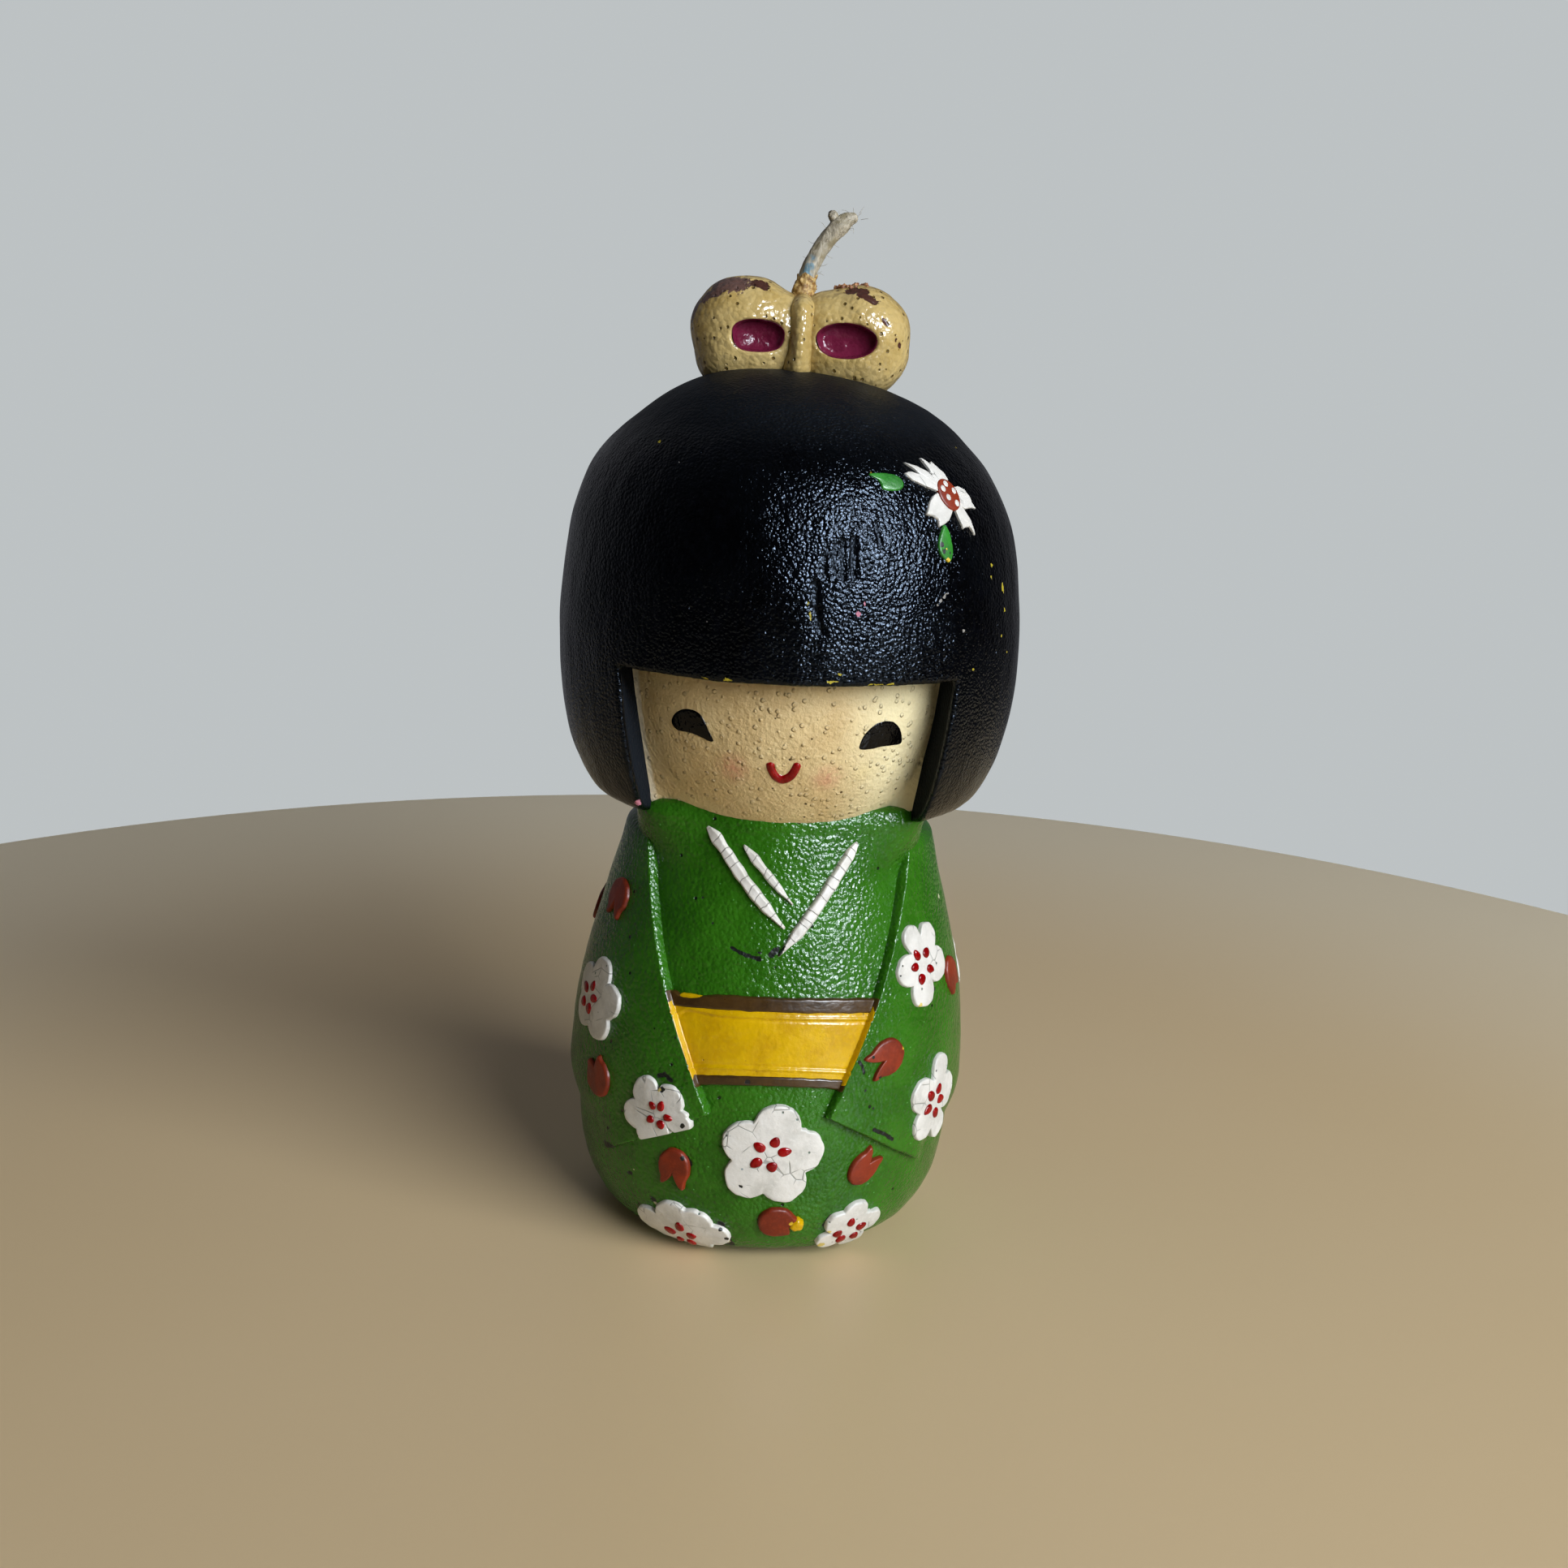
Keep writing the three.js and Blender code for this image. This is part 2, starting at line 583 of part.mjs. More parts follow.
// ---------------------------------------------------------------- collar strips
// A strip that tapers to both ends, from one place on the kimono to another.
function strip(from, to) {
  const place = (p, lift) => {
    const taper = Math.sqrt(Math.max(0.12, 1 - (2 * p.x - 1) ** 4));
    const start = new THREE.Vector2(from.angle, from.z);
    const middle = start.lerp(new THREE.Vector2(to.angle, to.z), p.x);
    const across = (2 * p.y - 1) * COLLAR_HALF_WIDTH * taper;
    const heading = Math.atan2(to.z - from.z, radians(to.angle - from.angle) * 21);
    return kimono.point(middle.x, middle.y, -Math.sin(heading) * across, Math.cos(heading) * across, lift);
  };
  return plate(gridLayout(9, 1), place, GAP, GAP + TRIM_THICKNESS);
}
const COLLARS = {
  collar_outer_left: [{ angle: -27.3, z: 56.2 }, { angle: 1.6, z: 46.0 }],
  collar_inner_left: [{ angle: -12.6, z: 55.2 }, { angle: 5.2, z: 48.8 }],
  collar_right: [{ angle: 1.2, z: 42.5 }, { angle: 30.9, z: 55.8 }],
};
Object.entries(COLLARS).forEach(([name, [from, to]]) => {
  addPart(name, strip(from, to), materials.white);
});

// ---------------------------------------------------------------- blossoms, petals and the hair flower
// An outline from a radius for each direction, cut flat where it would pass below a floor.
function polarOutline(count, radiusAt, floor = -Infinity) {
  return Array.from({ length: count }, (_, i) => {
    const direction = (2 * Math.PI * i) / count;
    const down = -Math.sin(direction);
    const reach = down > 0 ? Math.min(radiusAt(direction), -floor / down) : radiusAt(direction);
    return new THREE.Vector2(Math.cos(direction), Math.sin(direction)).multiplyScalar(reach);
  });
}

const liftOf = (item) => (item.sleeve ? SLEEVE_OUTER : 0) + GAP;

function decoration(surface, item, outline, lift = liftOf(item), thickness = TRIM_THICKNESS) {
  const place = (p, height) => surface.point(item.angle, item.z, p.x, p.y, height);
  return plate(discLayout(outline), place, lift, lift + thickness);
}

// How far down the outline the trim may reach from a height before it meets the table.
function roomBelow(z) {
  return (kimono.sampleAt(LOWEST_TRIM_Z) - kimono.sampleAt(z)) * kimono.step;
}

// Five round lobes.
function blossom(item) {
  const lobes = (direction) => Math.abs(Math.cos(2.5 * (direction - radians(item.turn)))) ** 0.7;
  const outline = polarOutline(20, (d) => item.radius * (0.76 + 0.24 * lobes(d)), roomBelow(item.z));
  return decoration(kimono, item, outline);
}

// One loose petal: an egg with a notch in the direction of its turn.
function petal(item) {
  const radiusAt = (direction) => {
    const ahead = direction - radians(item.turn);
    const off = Math.abs(Math.atan2(Math.sin(ahead), Math.cos(ahead)));
    const notch = Math.max(0, 1 - off / 0.45);
    return item.radius * (1 - 0.16 * Math.sin(off) ** 2 - 0.6 * notch);
  };
  return decoration(kimono, item, polarOutline(14, radiusAt, roomBelow(item.z)));
}

BLOSSOMS.forEach((item, i) => addPart("blossom_" + (i + 1), blossom(item), materials.white));
PETALS.forEach((item, i) => addPart("petal_" + (i + 1), petal(item), materials.redBrown));

// The hair flower: five narrow petals with toothed ends, joined round a middle.
// The outline of one petal, as a share of its length and millimetres across.
const TOOTHED_PETAL = [
  [0.22, -0.55],
  [0.57, -1.15],
  [0.98, -1.25],
  [0.82, 0],
  [1, 1.15],
  [0.57, 1.1],
  [0.22, 0.55],
];
const MIDDLE = new THREE.Vector2(0, 0);
function hairFlower() {
  const outline = HAIR_FLOWER.petals.flatMap(({ turn, length }) =>
    TOOTHED_PETAL.map(([along, across]) => {
      return new THREE.Vector2(along * length, across).rotateAround(MIDDLE, radians(turn));
    }),
  );
  return decoration(hair, HAIR_FLOWER, outline, GAP, PAINT_THICKNESS);
}
const flowerFace = GAP + PAINT_THICKNESS + GAP;
addPart("hair_flower", hairFlower(), materials.white);
addPart(
  "hair_flower_centre",
  decoration(hair, HAIR_FLOWER, polarOutline(16, () => 1.55), flowerFace, PAINT_THICKNESS),
  materials.redBrown,
);

// A leaf: a pointed oval along its turn.
HAIR_LEAVES.forEach((leaf) => {
  const outline = Array.from({ length: 16 }, (_, i) => {
    const t = (2 * Math.PI * i) / 16;
    const pinch = 1 - 0.45 * Math.max(0, Math.cos(t)) ** 2;
    const p = new THREE.Vector2(leaf.halfLength * Math.cos(t), leaf.halfWidth * Math.sin(t) * pinch);
    return p.rotateAround(MIDDLE, radians(leaf.turn));
  });
  addPart(leaf.name, decoration(hair, leaf, outline, GAP, PAINT_THICKNESS), materials.leaf);
});

// ---------------------------------------------------------------- face
// A half moon: high above its base line, shallow below it.
function eye(side) {
  const outline = Array.from({ length: 20 }, (_, i) => {
    const t = (2 * Math.PI * i) / 20;
    const height = Math.sin(t) > 0 ? EYE.rise : EYE.drop;
    return new THREE.Vector2(EYE.halfWidth * Math.cos(t), height * Math.sin(t));
  });
  const place = (p, lift) => headPoint(side * EYE.x + p.x, EYE.z + p.y, lift);
  return plate(discLayout(outline), place, GAP, GAP + PAINT_THICKNESS);
}
addPart("eye_left", eye(-1), materials.ink);
addPart("eye_right", eye(1), materials.ink);

// A smile: a strip bent along the lower half of an ellipse.
function mouth() {
  const place = (p, lift) => {
    const t = Math.PI * (1 + p.x);
    const grow = (1 - 2 * p.y) * MOUTH.halfThickness;
    const x = MOUTH.x + (MOUTH.halfWidth + grow) * Math.cos(t);
    return headPoint(x, MOUTH.z + (MOUTH.drop + grow) * Math.sin(t), lift);
  };
  return plate(gridLayout(10, 1), place, GAP, GAP + PAINT_THICKNESS);
}
addPart("mouth", mouth(), materials.red);

export default doll;
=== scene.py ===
"""The looks of a painted wax candle in the shape of a kokeshi doll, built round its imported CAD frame.

Lengths are millimetres until a mesh is made. The doll stands on Z = 0 and faces -Y.
Angles run round the Z axis in degrees: 0 is the front, and positive is the side of +X.
"""
import math

import bpy
import numpy as np
from mathutils import Matrix, Vector, noise


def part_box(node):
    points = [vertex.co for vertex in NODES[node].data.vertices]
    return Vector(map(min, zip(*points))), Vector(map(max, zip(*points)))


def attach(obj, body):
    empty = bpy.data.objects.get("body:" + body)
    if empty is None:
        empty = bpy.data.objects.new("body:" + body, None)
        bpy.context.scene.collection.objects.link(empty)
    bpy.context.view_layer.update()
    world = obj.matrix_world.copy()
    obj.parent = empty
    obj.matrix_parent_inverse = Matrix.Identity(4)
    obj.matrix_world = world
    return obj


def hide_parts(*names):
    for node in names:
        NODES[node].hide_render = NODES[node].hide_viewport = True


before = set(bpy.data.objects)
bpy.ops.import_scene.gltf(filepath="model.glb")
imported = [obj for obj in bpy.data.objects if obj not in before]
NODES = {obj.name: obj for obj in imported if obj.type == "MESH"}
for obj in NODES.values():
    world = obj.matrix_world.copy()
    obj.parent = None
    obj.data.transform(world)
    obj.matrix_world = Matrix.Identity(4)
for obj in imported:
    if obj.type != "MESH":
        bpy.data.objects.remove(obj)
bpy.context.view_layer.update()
BODY = "root"
MM = 0.001
RANDOM = np.random.default_rng(41)
COARSE = 1.0


# ================================================================ camera, floor and light
CAMERA = dict(place=(0.15, -209.4, 105.0), down=12.3, roll=2.53, lens=36.06)


def make_camera():
    data = bpy.data.cameras.new("camera")
    data.lens = CAMERA["lens"]
    data.sensor_width = 36
    data.clip_start = 0.01
    camera = bpy.data.objects.new("camera", data)
    tilt = Matrix.Rotation(math.radians(90 - CAMERA["down"]), 4, "X")
    turn = Matrix.Rotation(math.radians(CAMERA["roll"]), 4, "Z")
    camera.matrix_world = Matrix.Translation(Vector(CAMERA["place"]) * MM) @ tilt @ turn
    bpy.context.scene.collection.objects.link(camera)
    bpy.context.scene.camera = camera


DOLL_MIDDLE = Vector((0, 0, 0.07))


def area_light(name, azimuth, elevation, distance, size, power, colour, glossy=True, diffuse=True):
    """A soft rectangular light that looks at the doll's middle from a direction, in metres and watts."""
    data = bpy.data.lights.new(name, "AREA")
    data.shape = "RECTANGLE"
    data.size, data.size_y = size
    data.energy = power
    data.color = colour
    light = bpy.data.objects.new(name, data)
    a, e = math.radians(azimuth), math.radians(elevation)
    back = Vector((math.sin(a) * math.cos(e), -math.cos(a) * math.cos(e), math.sin(e)))
    turn = (-back).to_track_quat("-Z", "Y").to_matrix().to_4x4()
    light.matrix_world = Matrix.Translation(DOLL_MIDDLE + back * distance) @ turn
    light.visible_glossy = glossy
    light.visible_diffuse = diffuse
    bpy.context.scene.collection.objects.link(light)


def make_world(backdrop, side, away):
    """A plain pale backdrop to look at. What the doll gets is dimmer, and brightest from behind its left."""
    world = bpy.data.worlds.new("surround")
    world.use_nodes = True
    nodes, links = world.node_tree.nodes, world.node_tree.links
    direction = nodes.new("ShaderNodeTexCoord")
    facing = nodes.new("ShaderNodeVectorMath")
    facing.operation = "DOT_PRODUCT"
    facing.inputs[1].default_value = Vector((-0.42, 0.9, 0.12)).normalized()
    spread = nodes.new("ShaderNodeMapRange")
    spread.interpolation_type = "SMOOTHSTEP"
    spread.inputs["From Min"].default_value = -0.1
    spread.inputs["From Max"].default_value = 1.0
    shade = nodes.new("ShaderNodeMix")
    shade.data_type = "RGBA"
    shade.inputs[6].default_value = (*away, 1)
    shade.inputs[7].default_value = (*side, 1)
    path = nodes.new("ShaderNodeLightPath")
    seen = nodes.new("ShaderNodeMix")
    seen.data_type = "RGBA"
    seen.inputs[7].default_value = (*backdrop, 1)
    links.new(direction.outputs["Generated"], facing.inputs[0])
    links.new(facing.outputs["Value"], spread.inputs["Value"])
    links.new(spread.outputs["Result"], shade.inputs[0])
    links.new(path.outputs["Is Camera Ray"], seen.inputs[0])
    links.new(shade.outputs[2], seen.inputs[6])
    links.new(seen.outputs[2], nodes["Background"].inputs["Color"])
    bpy.context.scene.world = world


# ================================================================ surfaces and numbers
def grid_size(columns, rows):
    return int(columns / COARSE), int(rows / COARSE)


def smooth_line(points, steps):
    """A Catmull-Rom curve through the points, with this many steps between each two."""
    p = np.asarray(points, float)
    p = np.vstack([2 * p[0] - p[1], p, 2 * p[-1] - p[-2]])
    t = np.linspace(0, 1, steps, endpoint=False)[:, None]
    runs = [
        b + 0.5 * t * (c - a + t * (2 * a - 5 * b + 4 * c - d + t * (3 * (b - c) + d - a)))
        for a, b, c, d in zip(p, p[1:], p[2:], p[3:])
    ]
    return np.vstack([*runs, p[-2:-1]])


def smooth_ring(points, steps):
    """A closed Catmull-Rom curve through the points."""
    p = np.asarray(points, float)
    count = len(p)
    line = smooth_line(np.vstack([p[-2:], p, p[:2]]), steps)
    return line[2 * steps : (2 + count) * steps]


def ease(value, low, high):
    """0 below low and 1 above high, with a smooth step between them; low may be above high."""
    t = np.clip((np.asarray(value, float) - low) / (high - low), 0, 1)
    return t * t * (3 - 2 * t)


def rounded(t):
    """A quarter circle: 0 at 0, steep at first, and 1 from 1 on."""
    return np.sqrt(1 - (1 - np.clip(t, 0, 1)) ** 2)


def fuzz(points, size, seed=0):
    """Smooth noise from about -1 to 1 at each point, in lumps of this size."""
    points = np.asarray(points, float)
    flat = points.reshape(-1, 3) / size + 13.7 * (seed + 1)
    found = np.array([noise.noise(Vector(p)) for p in flat])
    return found.reshape(points.shape[:-1])


def layered(points, *layers):
    """Noise in layers, each with a height, a size and a seed."""
    return sum(height * fuzz(points, size, seed) for height, size, seed in layers)


def stacked(*parts):
    """Points from their coordinates, which may be single numbers."""
    return np.stack(np.broadcast_arrays(*parts), axis=-1)


def unit(vectors):
    """The same directions with a length of 1."""
    return vectors / np.linalg.norm(vectors, axis=-1, keepdims=True)


def lengths(line):
    """How far along a line each of its points is."""
    return np.concatenate([[0], np.cumsum(np.linalg.norm(np.diff(line, axis=0), axis=1))])


def crowded(count):
    """Numbers from -1 to 1 that lie closer together near both ends."""
    return np.sin(np.linspace(-1, 1, count) * math.pi / 2)


def circle(count):
    """Points round a circle of radius 1."""
    t = np.linspace(0, 2 * math.pi, count, endpoint=False)
    return np.stack([np.cos(t), np.sin(t)], axis=-1)


def turned_by(points, degrees):
    """Points in a plane, turned counterclockwise."""
    return points @ np.array(Matrix.Rotation(math.radians(degrees), 2)).T


def flat_fuzz(points, size, seed, third=0.0):
    """The noise at points in a plane."""
    return fuzz(np.column_stack([points, np.full(len(points), third)]), size, seed)


def line_distance(points, line):
    """The distance of each point from a line through points, in two or three dimensions."""
    best = np.full(points.shape[:-1], np.inf)
    for a, b in zip(line[:-1], line[1:]):
        ab = b - a
        t = np.clip((points - a) @ ab / max(ab @ ab, 1e-9), 0, 1)[..., None]
        best = np.minimum(best, np.linalg.norm(points - a - t * ab, axis=-1))
    return best


class Turned:
    """The outline of a turned CAD node, read at its back, as a smooth surface round the Z axis."""

    # Tolerances in metres: off the middle line, inside the node's ends, and off its skin.
    OFF_LINE, INSIDE, OFF_SKIN = 1e-5, 2e-5, 3e-4

    def __init__(self, node, beyond=()):
        corners = self.corners(NODES[node])
        corners += [(corners[-1][0] + dr, corners[-1][1] + dz) for dr, dz in beyond]
        line = smooth_line(corners, 24)
        self.r, self.z = line.T
        self.s = lengths(line)
        self.dr = np.gradient(self.r, self.s)
        self.dz = np.gradient(self.z, self.s)

    def corners(self, node):
        """The outline's corners: the vertices on the middle line of the back that show from behind."""
        low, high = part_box(node.name)
        found = {}
        for vertex in node.data.vertices:
            x, y, z = vertex.co
            if abs(x) > self.OFF_LINE or y < MM:
                continue
            level = min(max(z, low.z + self.INSIDE), high.z - self.INSIDE)
            hit, place, _, _ = node.ray_cast((0, 1, level), (0, -1, 0))
            if hit and abs(place.y - y) < self.OFF_SKIN:
                found[round(z / MM, 2)] = y / MM
        return [(r, z) for z, r in sorted(found.items())]

    def along(self, z):
        return np.interp(z, self.z, self.s)

    def radius(self, z):
        return np.interp(z, self.z, self.r)

    def at(self, angle, along, lift=0.0):
        """Points at an angle and a distance along the outline, lifted off the surface."""
        r, z, dr, dz = (np.interp(along, self.s, v) for v in (self.r, self.z, self.dr, self.dz))
        radius, turn = r + dz * lift, np.radians(angle)
        return stacked(radius * np.sin(turn), -radius * np.cos(turn), z - dr * lift)

    def at_height(self, angle, z, lift=0.0):
        return self.at(angle, self.along(z), lift)

    def spot(self, angle, start):
        """A placing function for a decoration: u round, v up the outline, and the lift."""
        radius = np.interp(start, self.s, self.r)
        return lambda u, v, lift: self.at(angle + np.degrees(u / radius), start + v, lift)

    def field(self, points):
        """About how far outside the surface each point is; negative inside."""
        z = points[:, 2]
        steep = np.interp(z, self.z, self.dz)
        side = (np.hypot(points[:, 0], points[:, 1]) - self.radius(z)) * steep
        return np.maximum(side, np.maximum(z - self.z[-1], self.z[0] - z))


# The real casting isn't quite true: its middle wanders sideways with height.
LEAN_HEIGHTS = (0, 10, 20, 30, 45, 56, 63, 80, 90, 98, 105, 112, 116)
LEAN = (-0.9, -0.95, -0.8, -0.6, -0.35, -0.2, 0.0, 0.0, -0.1, -0.4, -0.8, -0.7, -0.2)
FLAT_RADIUS = 24.0  # the radius at which angles are unrolled into millimetres


def upright(angle, z, radius):
    """The angle that the lean brings back over the place where this angle was."""
    forward = np.maximum(np.cos(np.radians(angle)), 0)
    return angle - np.degrees(np.interp(z, LEAN_HEIGHTS, LEAN) / radius) * forward


def hub(node, surface):
    """A CAD plate's middle, which is its vertex with the most triangles, as an angle and a
    distance along the outline of the surface that carries it."""
    points = {}
    mesh = NODES[node].data
    for polygon in mesh.polygons:
        for index in polygon.vertices:
            key = tuple(round(c / MM, 2) for c in mesh.vertices[index].co)
            points[key] = points.get(key, 0) + 1
    x, y, z = max(points, key=points.get)
    away = np.hypot(surface.r - math.hypot(x, y), surface.z - z)
    return upright(math.degrees(math.atan2(x, -y)), z, math.hypot(x, y)), surface.s[away.argmin()]


kimono = Turned("kimono_body", beyond=[(-1.4, 2.3), (-4.6, 3.7)])
hair = Turned("hair_cap")


# ---------------------------------------------------------------- the face
HEAD_LOW, HEAD_HIGH = (np.array(corner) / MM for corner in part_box("head"))
HEAD_CENTRE = (HEAD_LOW + HEAD_HIGH) / 2
HEAD_RADII = (HEAD_HIGH - HEAD_LOW) / 2
PANEL = dict(top_z=78.4, top_y=-16.2, low_z=58.8, low_y=-13.2)  # the sloping plane behind the ball
OPENING = dict(
    top_half=17.7,
    low_half=15.2,
    low_z=54.8,
    back_y=-9.0,
    front_y=-31.0,
    flare=4.4,
    fringe_z=77.4,
    back_z=78.4,
)


def on_face(x, z, lift=0.0):
    """The point on the front of the head's ball, lifted off it."""
    dz = z - HEAD_CENTRE[2]
    rest = 1 - (x / HEAD_RADII[0]) ** 2 - (dz / HEAD_RADII[2]) ** 2
    p = stacked(x, -HEAD_RADII[1] * np.sqrt(rest), dz)
    return p + unit(p / HEAD_RADII**2) * np.asarray(lift)[..., None] + np.array([0, 0, HEAD_CENTRE[2]])


def shifted(place, u, v):
    """A placing function whose middle is moved to another spot."""
    return lambda du, dv, lift: place(u + du, v + dv, lift)


# ================================================================ meshes
def wrapped(rings):
    """A closed skin over rings of points: quads between the rings, and a fan at each end."""
    rows, columns, _ = rings.shape
    points = np.vstack([rings.reshape(-1, 3), rings[0].mean(0), rings[-1].mean(0)])
    j = np.arange(columns)
    k = (j + 1) % columns
    row = np.arange(rows - 1)[:, None] * columns
    quads = np.stack([row + j, row + k, row + columns + k, row + columns + j], axis=-1)
    low, high = rows * columns, rows * columns + 1
    top = (rows - 1) * columns
    fans = [(low, b, a) for a, b in zip(j, k)] + [(high, top + a, top + b) for a, b in zip(j, k)]
    return points, quads.reshape(-1, 4).tolist() + [tuple(map(int, f)) for f in fans]


def slab(top, bottom):
    """A closed slab between two grids of points; rows go up and columns go right, seen from outside."""
    rows, columns, _ = top.shape
    count = rows * columns
    number = np.arange(count).reshape(rows, columns)
    a, b, c, d = number[:-1, :-1], number[:-1, 1:], number[1:, 1:], number[1:, :-1]
    up = np.stack([a, b, c, d], axis=-1).reshape(-1, 4)
    down = np.stack([d, c, b, a], axis=-1).reshape(-1, 4) + count
    rim = np.concatenate([number[0, :-1], number[:-1, -1], number[-1, :0:-1], number[:0:-1, 0]])
    after = np.roll(rim, -1)
    walls = np.stack([rim, rim + count, after + count, after], axis=-1)
    points = np.vstack([top.reshape(-1, 3), bottom.reshape(-1, 3)])
    return points, np.vstack([up, down, walls]).tolist()


def joined(parts):
    """Several meshes as one."""
    points, faces, start = [], [], 0
    for part_points, part_faces in parts:
        points.append(part_points)
        faces += [[start + i for i in face] for face in part_faces]
        start += len(part_points)
    return np.vstack(points), faces


EDGE_SHARES = (1.0, 0.985, 0.965, 0.94, 0.905, 0.86, 0.79, 0.69, 0.56, 0.4, 0.22, 0.08)


def patch(rim, place, height, base=0.0, edge=0.4, sink=0.35, dome=0.0, bumps=0.0, seed=0):
    """A raised patch inside a rim of (u, v) points that goes counterclockwise round its middle.

    Its edge is rounded, and its wall goes down into the surface that carries it."""
    rim = np.asarray(rim, float)
    shares = np.array(EDGE_SHARES)[:, None]
    inset = (1 - shares) * np.linalg.norm(rim, axis=1)
    lift = base + height * rounded(inset / edge) + dome * (1 - shares**2)
    flat = shares[..., None] * rim
    if bumps:
        lumps = fuzz(place(flat[..., 0], flat[..., 1], lift), 1.1, seed)
        lift = lift + bumps * lumps * ease(inset, 0, edge)
    flat = np.concatenate([rim[None], flat])
    lift = np.vstack([np.full((1, len(rim)), base - sink), lift])
    return wrapped(place(flat[..., 0], flat[..., 1], lift))


def skin(field, low, high, step):
    """The closed surface where a field goes from negative inside to positive outside.

    Surface nets: one vertex for each mixed cell of a grid, then moved onto the surface."""
    step = step * COARSE
    counts = [int(math.ceil((b - a) / step)) + 1 for a, b in zip(low, high)]
    axes = [a + step * np.arange(n) for a, n in zip(low, counts)]
    grid = np.stack(np.meshgrid(*axes, indexing="ij"), axis=-1).reshape(-1, 3)
    values = field(grid).reshape(counts)
    inside = values < 0
    corners = np.array([(i, j, k) for i in (0, 1) for j in (0, 1) for k in (0, 1)])
    total = sum(
        inside[tuple(slice(c, n - 1 + c) for c, n in zip(corner, counts))].astype(int)
        for corner in corners
    )
    cells = np.argwhere((total > 0) & (total < 8))
    number = np.full(total.shape, -1)
    number[tuple(cells.T)] = np.arange(len(cells))
    sums, crossings = np.zeros((len(cells), 3)), np.zeros(len(cells))
    edges = [(a, b) for a in corners for b in corners if (b - a).sum() == 1 and (b - a).min() >= 0]
    for a, b in edges:
        va, vb = values[tuple((cells + a).T)], values[tuple((cells + b).T)]
        cross = (va < 0) != (vb < 0)
        share = va[cross] / (va[cross] - vb[cross])
        sums[cross] += cells[cross] + a + share[:, None] * (b - a)
        crossings[cross] += 1
    points = np.array(low) + step * sums / crossings[:, None]
    faces = []
    for axis in range(3):
        one, two = np.eye(3, dtype=int)[(axis + 1) % 3], np.eye(3, dtype=int)[(axis + 2) % 3]
        first = np.moveaxis(inside, axis, 0)
        changed = np.moveaxis(first[:-1] != first[1:], 0, axis)
        places = np.argwhere(changed)
        places = places[(places @ one > 0) & (places @ two > 0)]
        places = places[(places @ one < counts[(axis + 1) % 3] - 1)]
        places = places[(places @ two < counts[(axis + 2) % 3] - 1)]
        around = [places, places - one, places - one - two, places - two]
        quads = np.stack([number[tuple(p.T)] for p in around], axis=-1)
        backward = ~inside[tuple(places.T)]
        quads[backward] = quads[backward][:, ::-1]
        faces += quads.tolist()
    for _ in range(2):
        slope = gradient(field, points)
        length = np.maximum((slope**2).sum(1), 0.05)
        points = points - (np.clip(field(points), -step, step) / length)[:, None] * slope
    return points, faces


def gradient(field, points, reach=0.05):
    """How fast a field grows along each axis, measured over a short reach to both sides."""
    sides = [reach * axis for axis in np.eye(3)]
    return np.stack([(field(points + d) - field(points - d)) / (2 * reach) for d in sides], axis=-1)


def outward(field, points):
    """The direction out of a field's surface at each point."""
    slope = gradient(field, points)
    return slope / np.maximum(np.linalg.norm(slope, axis=1, keepdims=True), 1e-6)


def soft_max(a, b, width):
    """The larger of two values, with a round change from one to the other over a width."""
    return np.maximum(a, b) + np.maximum(width - np.abs(a - b), 0) ** 2 / (4 * width)


def soft_min(a, b, width):
    return -soft_max(-a, -b, width)


def ball_field(points, centre, radii):
    """About the distance from an ellipsoid; negative inside."""
    p = (points - np.array(centre)) / np.array(radii)
    near = np.linalg.norm(p, axis=1)
    return near * (near - 1) / np.maximum(np.linalg.norm(p / np.array(radii), axis=1), 1e-6)


def marks(points, strokes):
    """For each point, 1 in the middle of the nearest stroke, 0 at its edge, and down to -1 outside."""
    best = np.full(len(points), -1.0)
    for line, width in strokes:
        line = np.atleast_2d(line)
        line = np.vstack([line, line[-1:]])
        best = np.maximum(best, 1 - line_distance(points, line) / (width / 2))
    return best


MARKS_READ = {}  # the marks that each material reads


def add_piece(name, mesh, material, nodes=(), values=None):
    """A mesh in millimetres as a named piece: it rides on the body and stands for CAD nodes.

    Marks that its material reads and that it hasn't got lie nowhere on it."""
    points, faces = mesh
    nowhere = {key: np.full(len(points), -1.0) for key in MARKS_READ.get(material.name, ())}
    values = {**nowhere, **(values or {})}
    points = np.array(points, float)
    points[:, 0] += np.interp(points[:, 2], LEAN_HEIGHTS, LEAN)
    data = bpy.data.meshes.new(name)
    data.from_pydata((points * MM).tolist(), [], faces)
    data.shade_smooth()
    for key, found in values.items():
        layer = data.attributes.new(key, "FLOAT", "POINT")
        layer.data.foreach_set("value", np.asarray(found, np.float32))
    data.materials.append(material)
    obj = bpy.data.objects.new(name, data)
    bpy.context.scene.collection.objects.link(obj)
    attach(obj, BODY)
    if nodes:
        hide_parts(*nodes)


# ================================================================ materials
def colour(code):
    """A linear colour from the usual six-figure code."""
    parts = [int(code[i : i + 2], 16) / 255 for i in (0, 2, 4)]
    return tuple(c / 12.92 if c <= 0.04045 else ((c + 0.055) / 1.055) ** 2.4 for c in parts) + (1,)


